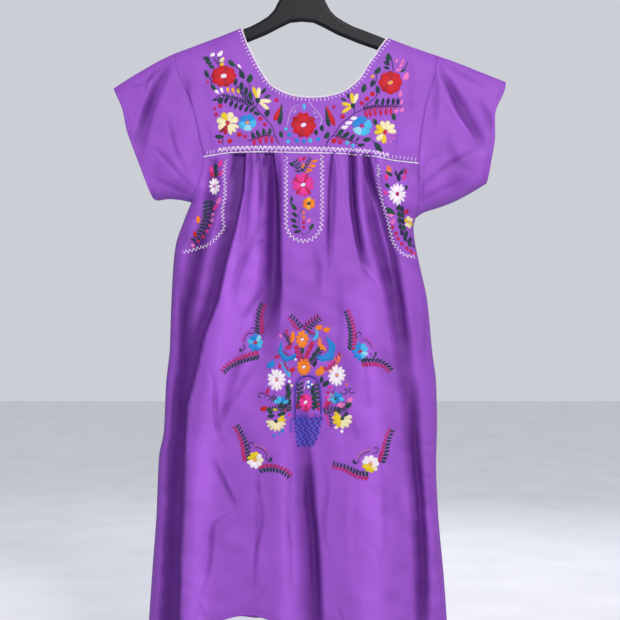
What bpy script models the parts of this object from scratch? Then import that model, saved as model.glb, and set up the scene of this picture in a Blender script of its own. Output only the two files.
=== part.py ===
"""Cotton dress with a yoke, a pleated front and short sleeves, hung on a plastic hanger.

Units are metres with +Z up. The origin is the inside of the hook's crown, where a rail carries it.
The front faces -Y, and +X is on the right of someone who faces the front.
"""

from collections import namedtuple

import bmesh
import bpy
import numpy as np

MM = 0.001

# Driving sizes in millimetres. A drop is measured down from the inside of the hook's crown.
CLOTH_WALL = 2.0
SEAM_GAP = 0.3
HEM_DROP = 1161.0
SLIT_TOP_DROP = 985.0
SLIT_OPENING = 2.4
SLEEVE_FLATTENING = 0.28
ARMSCYE_ACROSS = 200.0
SLEEVE_REACH = 120.0
FOLD_FADE = 26.0
HANGER_HALF_WIDTH = 222.0
HANGER_THICKNESS = 12.0
HANGER_EDGE_RADIUS = 5.0
HANGER_UNDER_CLOTH = 3.0
HANGER_NECK_DROP = 66.0
NECK_EDGING_RADIUS = 1.5
NECK_EDGING_INSET = 0.2
WIRE_RADIUS = 2.0
HOOK_INNER_RADIUS = 19.0
# The hook's arc runs from its first angle, right of the bottom, over the crown to its last.
HOOK_ARC_DEGREES = (-55, 205)
HOOK_BEND_TOP_DROP = 52.0
HOOK_BEND_PULLS = (18.0, 22.0)
STEM_DROPS = (72.0, 60.0)
STEM_DEPTH_IN_NECK = 25.0
BORE_RUN_OUT = 5.0

# How far the cloth stands off the middle plane, and how far in from a closed edge it takes to get there.
Girth = namedtuple("Girth", "drop front back reach")
GIRTHS = (
    Girth(140, 22, 21, 38),
    Girth(190, 23, 22, 38),
    Girth(250, 27, 25, 42),
    Girth(360, 33, 29, 50),
    Girth(450, 38, 33, 58),
    Girth(640, 43, 37, 66),
    Girth(900, 46, 40, 72),
    Girth(1161, 50, 43, 76),
)

# Outlines seen from the front, as (across, drop) in millimetres.
LEFT_SHOULDER = ((-218, 188.5), (-180, 174.5), (-143, 160.5), (-105, 145.5))
RIGHT_SHOULDER = ((149, 162.7), (180, 174.5), (229, 191.5))
NECKLINE = (
    (-105, 145.5), (-95, 176), (-87, 192), (-78, 210), (-69, 226), (-57, 244), (-44, 254),
    (-26, 262.5), (-7, 267.5), (14, 269), (35, 268), (56, 264), (74, 257), (90, 245),
    (102, 232), (112, 215), (124, 198), (136, 180), (149, 162.7),
)
YOKE_SEAM = (
    (-166, 368), (-138, 363), (-107, 360), (-70, 359.5), (-12, 360.5), (44, 361.5),
    (100, 364.5), (129, 368), (150, 373), (172, 376), (196, 378.5),
)
LEFT_ARMSCYE = (
    (-218, 188.5), (-215, 208), (-206, 236), (-194, 258), (-184, 288), (-177, 317),
    (-171, 346), (-166, 368), (-170, 392), (-178, 420), (-189, 443),
)
RIGHT_ARMSCYE = (
    (229, 191.5), (226, 226), (217, 256), (209, 282), (203, 316), (199, 346),
    (196, 378.5), (197, 410), (198, 440), (194, 470),
)
LEFT_SLEEVE_TOP = ((-218, 188.5), (-243, 200.5), (-269, 215), (-296, 231), (-322, 248))
RIGHT_SLEEVE_TOP = ((229, 191.5), (254, 200), (279, 209.5), (314, 223.5), (348, 237))
LEFT_SLEEVE_UNDER = ((-189, 443), (-209, 439), (-228, 437.5), (-247, 440), (-254, 437))
RIGHT_SLEEVE_UNDER = ((194, 470), (207, 461), (231, 453), (257, 443.5), (287, 428), (315, 411))
LEFT_CUFF = ((-322, 248), (-304, 288), (-297, 321), (-283, 360), (-271, 391), (-254, 437))
RIGHT_CUFF = ((348, 237), (345, 251), (327, 299), (327, 331), (321, 372), (315, 411))
LEFT_SIDE = (
    (-189, 443), (-196, 459), (-203, 477), (-215, 512), (-219.6, 545), (-224.5, 640),
    (-226, 690), (-232.5, 753), (-236.3, 834), (-244.5, 877), (-246.5, 916), (-249.2, 984),
    (-255.5, 1079), (-260.6, HEM_DROP),
)
RIGHT_SIDE = (
    (194, 470), (190.7, 486), (192, 502), (199.4, 542), (214, 610), (223, 700),
    (229.5, 753), (231, 824), (229.5, 890), (233.4, 984), (241.4, 1079), (247, HEM_DROP),
)
# The hem is lifted where the left front fold swings forward.
HEM_LIFT_ACROSS = -93.0
HEM_LIFT_HALF_WIDTH = 100.0
HEM_LIFT = 23.0

# Folds run down the cloth. Each station gives the fold's place, its rise off the cloth (negative for a
# valley) and its half width, and the lean shares that width between the left and the right flank.
Fold = namedtuple("Fold", "name lean drops across rises half_widths")
FRONT_FOLDS = (
    Fold("left underarm valley", 0.1, (385, 430, 530, 640, 780, 920, 1050, 1161),
         (-145, -150, -176, -199, -216, -226, -230, -233), (0, -7, -13, -14, -13, -13, -13, -13),
         (14, 18, 24, 27, 27, 25, 24, 24)),
    Fold("left bust ridge", -0.25, (400, 460, 530, 640, 780, 920, 1050, 1161),
         (-110, -112, -119, -131, -153, -173, -180, -182), (0, 4, 7, 8, 8, 8, 7, 7),
         (24, 28, 32, 36, 36, 34, 34, 34)),
    Fold("first left pleat", 0.0, (361, 385, 440, 510, 560), (-87, -88, -92, -100, -106),
         (0, -4, -4.5, -3, 0), (9, 9, 10, 12, 14)),
    Fold("second left pleat", 0.0, (361, 385, 440, 500, 545), (-63, -64, -66, -68, -70),
         (0, -4, -4.5, -2.5, 0), (9, 9, 10, 12, 14)),
    Fold("valley left of the strip", 0.2, (361, 390, 440, 530, 610, 680, 750),
         (-41, -42, -44, -48, -54, -60, -64), (0, -8, -13, -14, -11, -4, 0),
         (13, 14, 18, 22, 25, 27, 28)),
    Fold("ridge left of the strip", 0.0, (380, 440, 530, 620, 720, 820),
         (-72, -76, -80, -88, -98, -104), (0, 3, 5, 6, 4, 0), (18, 20, 24, 28, 32, 34)),
    Fold("first right pleat", 0.0, (361, 385, 440, 500, 560), (50, 50, 50, 46, 44),
         (0, -5, -6, -5, 0), (9, 10, 10, 11, 13)),
    Fold("second right pleat", 0.0, (362, 385, 440, 500, 550), (78, 80, 86, 94, 100),
         (0, -4, -5, -4, 0), (9, 9, 10, 12, 14)),
    Fold("right bust valley", -0.1, (365, 390, 440, 510, 560, 610, 700, 790, 920, 1050, 1161),
         (104, 108, 113, 126, 140, 153, 168, 181, 191, 198, 201),
         (0, -6, -10, -12, -13, -13, -10, -9, -10, -12, -12),
         (12, 13, 15, 18, 20, 22, 24, 24, 20, 18, 18)),
    Fold("right hip ridge", 0.1, (560, 640, 760, 900, 1161), (100, 106, 112, 118, 120),
         (0, 4, 6, 6, 6), (34, 40, 46, 46, 46)),
    Fold("centre valley", 0.35, (720, 800, 880, 960, 1060, 1161), (-6, 0, 8, 14, 20, 26),
         (0, -4, -9, -12, -13, -13), (22, 22, 21, 21, 23, 24)),
    Fold("ridge left of the centre", 0.0, (760, 860, 960, 1161), (-36, -32, -28, -24),
         (0, 4, 6, 6), (30, 30, 28, 28)),
    Fold("left sleeve valley", 0.1, (205, 240, 290, 335, 365), (-222, -237, -258, -270, -276),
         (0, -5, -7, -5, 0), (11, 13, 15, 15, 14)),
    Fold("right sleeve valley", 0.0, (225, 255, 290, 330, 360), (238, 256, 276, 296, 306),
         (0, -5, -6, -5, 0), (11, 13, 15, 15, 14)),
)
BACK_FOLDS = (
    Fold("left back valley", -0.1, (385, 440, 560, 700, 900, 1161),
         (-120, -130, -154, -176, -194, -202), (0, -7, -11, -12, -12, -12),
         (15, 18, 24, 27, 27, 27)),
    Fold("left back pleat", 0.0, (361, 390, 450, 540), (-78, -80, -86, -94),
         (0, -4, -4.5, 0), (10, 10, 11, 14)),
    Fold("centre left valley", 0.1, (365, 400, 480, 600, 800, 1000, 1161),
         (-34, -38, -46, -58, -66, -72, -76), (0, -6, -9, -10, -8, -9, -9),
         (12, 14, 18, 24, 28, 28, 28)),
    Fold("centre back ridge", 0.0, (420, 560, 760, 1161), (2, 4, 6, 6), (0, 5, 6, 6),
         (26, 34, 40, 40)),
    Fold("centre right valley", -0.1, (365, 400, 480, 600, 800, 1000, 1161),
         (42, 46, 54, 66, 76, 84, 88), (0, -6, -9, -10, -9, -9, -9), (12, 14, 18, 24, 28, 28, 28)),
    Fold("right back pleat", 0.0, (361, 390, 450, 540), (92, 94, 99, 106),
         (0, -4, -4.5, 0), (10, 10, 11, 14)),
    Fold("right back valley", 0.1, (385, 440, 560, 700, 900, 1161),
         (138, 146, 158, 172, 184, 190), (0, -7, -11, -12, -12, -12), (15, 18, 22, 25, 25, 25)),
)

# The hanger's outline from the middle outwards, as (across, drop).
HANGER_TOP = (
    (8, HANGER_NECK_DROP), (14, 68), (25, 77), (34.5, 88), (41, 101), (48, 114.5),
    (58, 125), (72, 134), (88, 142.3),
)
HANGER_BOTTOM = (
    (215, 214.5), (180, 200.5), (150, 190), (122, 180), (95, 170.5), (61, 156.5), (34, 142.5),
    (20, 136), (0, 134),
)
HANGER_TIP = ((HANGER_HALF_WIDTH - 4, 193.5), (HANGER_HALF_WIDTH, 200), (HANGER_HALF_WIDTH - 0.5, 209))
HANGER_TOUCHES_CLOTH_FROM = 112.0
HANGER_TOUCHES_CLOTH_TO = 211.0

# The meshes' finest spacing sits near closed edges, where the cloth turns round to the other face.
YOKE_ROWS = np.array([0, 0.008, 0.035, 0.09, 0.18, 0.32, 0.5, 0.75, 1])
YOKE_SHOULDER_COLUMNS = 5
NECK_CORNER_SHARES = np.array([0.006, 0.025, 0.06])
NECK_MIDDLE_COLUMNS = 16
SLOPE_STEP = 0.3
SHARP_DEGREES = 50
CLOSED_EDGE_POINTS = 90
HANGER_ON_CLOTH_POINTS = 8
HANGER_EDGE_DEGREES = (0, 30, 60, 90)
BORE_SEGMENTS = 16
HOOK_ARC_POINTS = 25
HOOK_BEND_POINTS = 9
WIRE_BEVEL_RESOLUTION = 2
SKIRT_ROWS_TO_UNDERARM = np.array([0, 0.25, 0.5, 0.72, 0.88, 0.97, 1])
SKIRT_ROWS_BELOW = 15
SKIRT_EDGE_COLUMNS = np.array([0, 0.004, 0.016, 0.036])
SKIRT_EDGE_SHARE = 0.06
FRONT_SKIRT_COLUMNS = 52
BACK_SKIRT_COLUMNS = 34
SLEEVE_SEGMENTS = 6
EDGING_SIDES = 8

MATERIALS = {
    "purple_cotton": ((0.30, 0.09, 0.56), 0.82, 0.0),
    "white_cotton": ((0.86, 0.82, 0.90), 0.85, 0.0),
    "black_plastic": ((0.012, 0.013, 0.020), 0.38, 0.0),
    "steel": ((0.62, 0.62, 0.64), 0.22, 1.0),
}


def smooth(at, xs, ys):
    """Monotone cubic through the points (xs, ys), held level past both ends."""
    xs, ys = np.asarray(xs, float), np.asarray(ys, float)
    steps = np.diff(xs)
    slopes = np.diff(ys) / steps
    tangents = np.concatenate([slopes[:1], np.zeros(len(xs) - 2), slopes[-1:]])
    product = slopes[:-1] * slopes[1:]
    turning = product <= 0
    total = np.where(turning, 1.0, slopes[:-1] + slopes[1:])
    tangents[1:-1] = np.where(turning, 0.0, 2 * product / total)
    at = np.clip(at, xs[0], xs[-1])
    i = np.clip(np.searchsorted(xs, at) - 1, 0, len(steps) - 1)
    t = (at - xs[i]) / steps[i]
    rise = ys[i] * (2 * t**3 - 3 * t**2 + 1) + ys[i + 1] * (3 * t**2 - 2 * t**3)
    bend = tangents[i] * (t**3 - 2 * t**2 + t) + tangents[i + 1] * (t**3 - t**2)
    return rise + bend * steps[i]


def smoothstep(q):
    q = np.clip(q, 0, 1)
    return q * q * (3 - 2 * q)


def path(points, shares):
    """Points on the smooth curve through the outline's points, at shares of its length."""
    points = np.array(points, float)
    lengths = np.concatenate([[0], np.cumsum(np.hypot(*np.diff(points, axis=0).T))])
    at = np.asarray(shares) * lengths[-1]
    return np.stack([smooth(at, lengths, points[:, 0]), smooth(at, lengths, points[:, 1])], -1)


def share_at(points, corner):
    """The share of the outline's length at one of its own points."""
    points = np.array(points, float)
    lengths = np.concatenate([[0], np.cumsum(np.hypot(*np.diff(points, axis=0).T))])
    return lengths[np.argmin(np.hypot(*(points - corner).T))] / lengths[-1]


def closed_edges():
    """The shoulder lines, sleeve edges and side seams, where the front and the back meet."""
    shares = np.linspace(0, 1, CLOSED_EDGE_POINTS)
    edges = []
    for pieces in (
        (LEFT_SHOULDER, LEFT_SLEEVE_TOP),
        (RIGHT_SHOULDER, RIGHT_SLEEVE_TOP),
        (LEFT_SLEEVE_UNDER, LEFT_SIDE),
        (RIGHT_SLEEVE_UNDER, RIGHT_SIDE),
    ):
        edges += [path(piece, shares) for piece in pieces]
    return edges


CLOSED_EDGES = closed_edges()


def edge_distance(across, drop):
    """Distance to the nearest closed edge, a little more beside the open side slits."""
    point = np.stack([across, drop], -1)
    nearest = np.full(np.shape(across), np.inf)
    for edge in CLOSED_EDGES:
        for a, b in zip(edge[:-1], edge[1:]):
            run = b - a
            t = np.clip(((point - a) @ run) / (run @ run), 0, 1)
            nearest = np.minimum(nearest, np.hypot(*np.moveaxis(point - a - t[..., None] * run, -1, 0)))
    slit = np.clip((drop - SLIT_TOP_DROP) / (HEM_DROP - SLIT_TOP_DROP), 0, 1)
    return nearest + SLIT_OPENING * slit


def fold_relief(folds, across, drop):
    relief = np.zeros(np.shape(across))
    for fold in folds:
        centre = smooth(drop, fold.drops, fold.across)
        half = smooth(drop, fold.drops, fold.half_widths)
        rise = smooth(drop, fold.drops, fold.rises) * (drop >= fold.drops[0])
        offset = across - centre
        q = offset / (half * np.where(offset < 0, 1 + fold.lean, 1 - fold.lean))
        relief += rise * np.where(np.abs(q) < 1, 0.5 + 0.5 * np.cos(np.pi * q), 0)
    return relief


def stand_off(across, drop, side):
    """How far the cloth's outer face stands in front of (side -1) or behind (side 1) the middle plane."""
    distance = edge_distance(across, drop)
    drops = [g.drop for g in GIRTHS]
    full = smooth(drop, drops, [g.front if side < 0 else g.back for g in GIRTHS])
    reach = smooth(drop, drops, [g.reach for g in GIRTHS])
    full = full * (1 - SLEEVE_FLATTENING * smoothstep((np.abs(across) - ARMSCYE_ACROSS) / SLEEVE_REACH)
                   * (drop < LEFT_SIDE[0][1] + FOLD_FADE))
    rounded = np.sqrt(1 - (1 - np.clip(distance / reach, 0, 1)) ** 2)
    folds = FRONT_FOLDS if side < 0 else BACK_FOLDS
    return full * rounded + fold_relief(folds, across, drop) * smoothstep(distance / FOLD_FADE)


def cloth_face(grid, side, closed):
    """Outer points and outward normals over a grid of (across, drop). The closed points lie on a closed edge."""
    across, drop = grid[..., 0], grid[..., 1]
    out = np.where(closed, 0, stand_off(across, drop, side))
    step, run = SLOPE_STEP, 2 * SLOPE_STEP
    slope_across = (stand_off(across + step, drop, side) - stand_off(across - step, drop, side)) / run
    slope_down = (stand_off(across, drop + step, side) - stand_off(across, drop - step, side)) / run
    points = np.stack([across, side * (out + SEAM_GAP / 2), -drop], -1)
    normals = np.stack([-slope_across, np.full(np.shape(across), float(side)), slope_down], -1)
    return points, normals / np.linalg.norm(normals, axis=-1, keepdims=True)


def turn_edge_normals(points, normals, closed, line, inner_line):
    """On a closed edge the cloth turns straight back, so its normal lies in the middle plane."""
    edge, inside = points[line], points[inner_line]
    marked = np.flatnonzero(closed[line])
    for run in np.split(marked, np.flatnonzero(np.diff(marked) > 1) + 1):
        if len(run) < 2:
            continue
        tangent = np.gradient(edge[run], axis=0)
        outward = np.stack([-tangent[:, 2], np.zeros(len(run)), tangent[:, 0]], -1)
        outward *= np.sign(np.sum(outward * (edge - inside)[run], -1, keepdims=True))
        normals[line][run] = outward / np.linalg.norm(outward, axis=-1, keepdims=True)


def wall(name, outer, normals, material, ring=False):
    """A closed wall of the cloth's thickness behind a grid of outer points, whose ends meet in a ring."""
    rows, columns = outer.shape[:2]
    inner = outer - normals * CLOTH_WALL
    points = np.concatenate([outer.reshape(-1, 3), inner.reshape(-1, 3)]) * MM
    behind = rows * columns
    triangles = []

    def vertex(row, column):
        return row * columns + column % columns

    def strip(first, second):
        for (a, b), (c, d) in zip(zip(first, first[1:]), zip(second, second[1:])):
            triangles.extend([(a, b, d), (a, d, c)])

    last = columns + 1 if ring else columns
    for row in range(rows - 1):
        upper = [vertex(row, c) for c in range(last)]
        lower = [vertex(row + 1, c) for c in range(last)]
        strip(upper, lower)
        strip([v + behind for v in lower], [v + behind for v in upper])
    top = [vertex(0, c) for c in range(last)]
    bottom = [vertex(rows - 1, c) for c in range(last)]
    strip([v + behind for v in top], top)
    strip(bottom, [v + behind for v in bottom])
    if not ring:
        left = [vertex(r, 0) for r in range(rows)]
        right = [vertex(r, columns - 1) for r in range(rows)]
        strip(left, [v + behind for v in left])
        strip([v + behind for v in right], right)
    return solid(name, points, triangles, material)


def solid(name, points, faces, material):
    mesh = bpy.data.meshes.new(name)
    mesh.from_pydata([tuple(p) for p in points], [], faces)
    body = bmesh.new()
    body.from_mesh(mesh)
    bmesh.ops.recalc_face_normals(body, faces=body.faces)
    body.to_mesh(mesh)
    body.free()
    mesh.shade_smooth()
    mesh.set_sharp_from_angle(angle=np.radians(SHARP_DEGREES))
    mesh.materials.append(material)
    made = bpy.data.objects.new(name, mesh)
    bpy.context.scene.collection.objects.link(made)
    return made


def coons(top, bottom, left, right, u, v):
    """A grid of (across, drop) stretched between four outlines. Rows run along v and columns along u."""
    u, v = u[None, :, None], v[:, None, None]
    across = (1 - v) * top[None] + v * bottom[None]
    down = (1 - u) * left[:, None] + u * right[:, None]
    corners = (1 - v) * ((1 - u) * top[0] + u * top[-1]) + v * ((1 - u) * bottom[0] + u * bottom[-1])
    return across + down - corners


def yoke_grid():
    """The yoke between the shoulders and neckline above, the armscyes at its sides and the yoke seam."""
    side = np.linspace(0, 1, YOKE_SHOULDER_COLUMNS + 1)
    corner = NECK_CORNER_SHARES[-1]
    between = np.linspace(corner, 1 - corner, NECK_MIDDLE_COLUMNS + 2)[1:-1]
    middle = np.concatenate([NECK_CORNER_SHARES, between, 1 - NECK_CORNER_SHARES[::-1]])
    top = np.concatenate([path(LEFT_SHOULDER, side), path(NECKLINE, middle), path(RIGHT_SHOULDER, side)])
    seam_width = YOKE_SEAM[-1][0] - YOKE_SEAM[0][0]
    neck_shares = [(point[0] - YOKE_SEAM[0][0]) / seam_width for point in (NECKLINE[0], NECKLINE[-1])]
    columns = np.arange(len(top))
    left, right = YOKE_SHOULDER_COLUMNS, YOKE_SHOULDER_COLUMNS + len(middle) + 1
    shares = np.interp(columns, [0, left, right, len(top) - 1], [0, *neck_shares, 1])
    bottom = path(YOKE_SEAM, shares)
    left_end = share_at(LEFT_ARMSCYE, YOKE_SEAM[0])
    right_end = share_at(RIGHT_ARMSCYE, YOKE_SEAM[-1])
    grid = coons(
        top, bottom, path(LEFT_ARMSCYE, YOKE_ROWS * left_end), path(RIGHT_ARMSCYE, YOKE_ROWS * right_end),
        shares, YOKE_ROWS,
    )
    closed = np.zeros(grid.shape[:2], bool)
    closed[0] = (columns <= left) | (columns >= right)
    return grid, closed


def side_lines():
    """The skirt's left and right edges: the lower armscye, then the side seam to the hem."""
    lines = []
    for armscye, seam_end, side in (
        (LEFT_ARMSCYE, YOKE_SEAM[0], LEFT_SIDE),
        (RIGHT_ARMSCYE, YOKE_SEAM[-1], RIGHT_SIDE),
    ):
        start = share_at(armscye, seam_end)
        upper = path(armscye, start + (1 - start) * SKIRT_ROWS_TO_UNDERARM)
        lower = path(side, np.linspace(0, 1, SKIRT_ROWS_BELOW + 1)[1:])
        lines.append(np.concatenate([upper, lower]))
    return lines


def hem_drop(across):
    return HEM_DROP - HEM_LIFT * np.where(
        np.abs(across - HEM_LIFT_ACROSS) < HEM_LIFT_HALF_WIDTH,
        0.5 + 0.5 * np.cos(np.pi * (across - HEM_LIFT_ACROSS) / HEM_LIFT_HALF_WIDTH), 0,
    )


def skirt_grid(columns, lifted):
    """The skirt between the yoke seam, its two side lines and the hem."""
    left, right = side_lines()
    middle = np.linspace(SKIRT_EDGE_SHARE, 1 - SKIRT_EDGE_SHARE, columns + 1)
    u = np.concatenate([SKIRT_EDGE_COLUMNS, middle, 1 - SKIRT_EDGE_COLUMNS[::-1]])
    top = path(YOKE_SEAM, u)
    hem = np.stack([left[-1, 0] + (right[-1, 0] - left[-1, 0]) * u, np.full(len(u), HEM_DROP)], -1)
    if lifted:
        hem[:, 1] = hem_drop(hem[:, 0])
    drops = 0.5 * (left[:, 1] + right[:, 1])
    v = (drops - drops[0]) / (drops[-1] - drops[0])
    grid = coons(top, hem, left, right, u, v)
    grid[0, :, 1] += SEAM_GAP
    closed = np.zeros(grid.shape[:2], bool)
    first_closed = len(SKIRT_ROWS_TO_UNDERARM) - 1
    closed[first_closed:, [0, -1]] = grid[first_closed:, [0, -1], 1] <= SLIT_TOP_DROP
    return grid, closed


def panel(name, grid, closed, side, material):
    """One cut panel. Its closed edges lie on its first row or on its first and last columns."""
    points, normals = cloth_face(grid, side, closed)
    turn_edge_normals(points, normals, closed, (0, slice(None)), (2, slice(None)))
    turn_edge_normals(points, normals, closed, (slice(None), 0), (slice(None), 2))
    turn_edge_normals(points, normals, closed, (slice(None), -1), (slice(None), -3))
    return wall(name, points, normals, material)


def sleeve(name, armscye, seam_end, top_edge, under_edge, cuff, outward, material):
    """A short flat tube from the armscye to the cuff, with its front and back faces in one ring."""
    start = share_at(armscye, seam_end)
    shares = np.concatenate([YOKE_ROWS * start, start + (1 - start) * SKIRT_ROWS_TO_UNDERARM[1:]])
    v = np.linspace(0, 1, SLEEVE_SEGMENTS + 1)
    grid = coons(path(armscye, shares), path(cuff, shares), path(top_edge, v), path(under_edge, v), shares, v)
    grid[0, :, 0] += outward * SEAM_GAP
    closed = np.zeros(grid.shape[:2], bool)
    closed[:, [0, -1]] = True
    faces = []
    for side in (-1, 1):
        points, normals = cloth_face(grid, side, closed)
        points[:, [0, -1], 1] = 0
        turn_edge_normals(points, normals, closed, (slice(None), 0), (slice(None), 2))
        turn_edge_normals(points, normals, closed, (slice(None), -1), (slice(None), -3))
        faces.append((points, normals))
    (front, front_normals), (back, back_normals) = faces
    ring = np.concatenate([front, back[:, -2:0:-1]], axis=1)
    ring_normals = np.concatenate([front_normals, back_normals[:, -2:0:-1]], axis=1)
    return wall(name, ring, ring_normals, material, ring=True)


def neck_edging(material):
    """A round crocheted cord along the neckline, just inside the edges of both yokes, in one ring."""
    grid, closed = yoke_grid()
    first, last = np.flatnonzero(~closed[0])[[0, -1]] + [-1, 1]
    routes = []
    for side in (-1, 1):
        points, normals = cloth_face(grid, side, closed)
        turn_edge_normals(points, normals, closed, (0, slice(None)), (2, slice(None)))
        edge, normal = points[0, first:last + 1], normals[0, first:last + 1]
        below = points[1, first:last + 1] - edge
        tangent = np.gradient(edge, axis=0)
        tangent[[0, -1]] = [0, side, 0]
        inward = np.cross(tangent, normal)
        inward /= np.linalg.norm(inward, axis=-1, keepdims=True)
        inward *= -np.sign(np.sum(inward * below, -1, keepdims=True))
        inward[[0, -1]] *= np.sign(inward[[0, -1], 0] * [1, -1])[:, None]
        routes.append(edge - normal * NECK_EDGING_INSET + inward * (SEAM_GAP + NECK_EDGING_RADIUS))
    front, back = routes
    front[[0, -1], 1] = 0
    route = np.concatenate([front, back[-2:0:-1]])
    ahead = np.roll(route, -1, 0) - np.roll(route, 1, 0)
    ahead /= np.linalg.norm(ahead, axis=-1, keepdims=True)
    first_way = np.cross(ahead, [0, 0, 1])
    first_way /= np.linalg.norm(first_way, axis=-1, keepdims=True)
    second_way = np.cross(ahead, first_way)
    points, faces = [], []
    for turn in np.linspace(0, 2 * np.pi, EDGING_SIDES, endpoint=False):
        points.append(route + NECK_EDGING_RADIUS * (np.cos(turn) * first_way + np.sin(turn) * second_way))
    count = len(route)
    for ring in range(EDGING_SIDES):
        for i in range(count):
            a, b = ring * count + i, ring * count + (i + 1) % count
            c, d = (ring + 1) % EDGING_SIDES * count + i, (ring + 1) % EDGING_SIDES * count + (i + 1) % count
            faces.append((a, b, d, c))
    return solid("neck_edging", np.concatenate(points) * MM, faces, material)


def hanger_outline():
    """The hanger's outline as (across, drop), clockwise from the right of its neck."""
    shoulder = np.array([(-x, drop) for x, drop in reversed(LEFT_SHOULDER)])
    along = np.linspace(HANGER_TOUCHES_CLOTH_FROM, HANGER_TOUCHES_CLOTH_TO, HANGER_ON_CLOTH_POINTS)
    on_cloth = np.stack([along, smooth(along, shoulder[:, 0], shoulder[:, 1]) + HANGER_UNDER_CLOTH], -1)
    right = np.concatenate([HANGER_TOP, on_cloth, HANGER_TIP, HANGER_BOTTOM[:-1]])
    left = right[::-1] * [-1, 1]
    return np.concatenate([right, [HANGER_BOTTOM[-1]], left])


def hanger(material):
    """A flat moulded hanger whose edges are rounded over."""
    outline = hanger_outline()
    tangent = np.roll(outline, -1, 0) - np.roll(outline, 1, 0)
    inward = np.stack([-tangent[:, 1], tangent[:, 0]], -1)
    inward /= np.linalg.norm(inward, axis=-1, keepdims=True)
    half = HANGER_THICKNESS / 2
    rings = []
    for angle in np.radians(HANGER_EDGE_DEGREES):
        inset = HANGER_EDGE_RADIUS * (1 - np.sin(angle))
        depth = half - HANGER_EDGE_RADIUS * (1 - np.cos(angle))
        rings.append((inset, depth))
    rings += [(inset, -depth) for inset, depth in reversed(rings)]
    points = []
    for inset, depth in rings:
        loop = outline + inward * inset
        points += [(x * MM, -depth * MM, -drop * MM) for x, drop in loop]
    count = len(outline)
    faces = [tuple(range(count)), tuple(range(len(points) - 1, len(points) - count - 1, -1))]
    for ring in range(len(rings) - 1):
        for i in range(count):
            a, b = ring * count + i, ring * count + (i + 1) % count
            faces.append((a, a + count, b + count, b))
    made = solid("hanger_body", points, faces, material)
    bore = cylinder(
        "hook_bore", WIRE_RADIUS + SEAM_GAP, HANGER_NECK_DROP - BORE_RUN_OUT, HANGER_NECK_DROP + STEM_DEPTH_IN_NECK
    )
    cut = made.modifiers.new("hook bore", "BOOLEAN")
    cut.operation = "DIFFERENCE"
    cut.object = bore
    return made


def cylinder(name, radius, top, bottom):
    """A cutter on the hanger's middle line."""
    body = bmesh.new()
    bmesh.ops.create_cone(
        body, cap_ends=True, segments=BORE_SEGMENTS,
        radius1=radius * MM, radius2=radius * MM, depth=(bottom - top) * MM,
    )
    mesh = bpy.data.meshes.new(name)
    body.to_mesh(mesh)
    body.free()
    made = bpy.data.objects.new(name, mesh)
    made.location.z = -(top + bottom) / 2 * MM
    made.hide_render = True
    made.display_type = "WIRE"
    bpy.context.scene.collection.objects.link(made)
    return made


def hook(material):
    """A wire hook: the stem, a reverse bend, and an arc that is open towards -X."""
    radius = HOOK_INNER_RADIUS + WIRE_RADIUS
    turn = np.radians(np.linspace(*HOOK_ARC_DEGREES, HOOK_ARC_POINTS))
    arc = np.stack([radius * np.cos(turn), HOOK_INNER_RADIUS - radius * np.sin(turn)], -1)
    start, end = np.array([0, HOOK_BEND_TOP_DROP]), arc[0]
    start_way = HOOK_BEND_PULLS[0] * np.array([0, -1])
    end_way = HOOK_BEND_PULLS[1] * np.array([-np.sin(turn[0]), -np.cos(turn[0])])
    t = np.linspace(0, 1, HOOK_BEND_POINTS)[1:-1, None]
    bend = (
        start * (2 * t**3 - 3 * t**2 + 1) + start_way * (t**3 - 2 * t**2 + t)
        + end * (3 * t**2 - 2 * t**3) + end_way * (t**3 - t**2)
    )
    foot = HANGER_NECK_DROP + STEM_DEPTH_IN_NECK - SEAM_GAP
    stem = [(0, drop) for drop in (foot, *STEM_DROPS)]
    route = np.concatenate([stem, [start], bend, arc])
    curve = bpy.data.curves.new("hanger_hook", "CURVE")
    curve.dimensions = "3D"
    curve.bevel_depth = WIRE_RADIUS * MM
    curve.bevel_resolution = WIRE_BEVEL_RESOLUTION
    curve.use_fill_caps = True
    spline = curve.splines.new("POLY")
    spline.points.add(len(route) - 1)
    for point, (x, drop) in zip(spline.points, route):
        point.co = (x * MM, 0, -drop * MM, 1)
    curve.materials.append(material)
    made = bpy.data.objects.new("hanger_hook", curve)
    bpy.context.scene.collection.objects.link(made)
    return made


def make_material(name):
    colour, roughness, metallic = MATERIALS[name]
    material = bpy.data.materials.new(name)
    material.use_nodes = True
    shader = material.node_tree.nodes["Principled BSDF"]
    shader.inputs["Base Color"].default_value = (*colour, 1)
    shader.inputs["Roughness"].default_value = roughness
    shader.inputs["Metallic"].default_value = metallic
    material.diffuse_color = (*colour, 1)
    return material


def main():
    for old in list(bpy.data.objects):
        bpy.data.objects.remove(old)
    cotton, thread, plastic, steel = (make_material(name) for name in MATERIALS)
    yoke, yoke_closed = yoke_grid()
    panel("front_yoke", yoke, yoke_closed, -1, cotton)
    panel("back_yoke", yoke, yoke_closed, 1, cotton)
    panel("front_skirt", *skirt_grid(FRONT_SKIRT_COLUMNS, True), -1, cotton)
    panel("back_skirt", *skirt_grid(BACK_SKIRT_COLUMNS, False), 1, cotton)
    sleeve(
        "sleeve_left", LEFT_ARMSCYE, YOKE_SEAM[0], LEFT_SLEEVE_TOP, LEFT_SLEEVE_UNDER, LEFT_CUFF, -1, cotton
    )
    sleeve(
        "sleeve_right", RIGHT_ARMSCYE, YOKE_SEAM[-1], RIGHT_SLEEVE_TOP, RIGHT_SLEEVE_UNDER, RIGHT_CUFF, 1, cotton
    )
    neck_edging(thread)
    hanger(plastic)
    hook(steel)


main()
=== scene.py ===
import math
from collections import namedtuple

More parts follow.
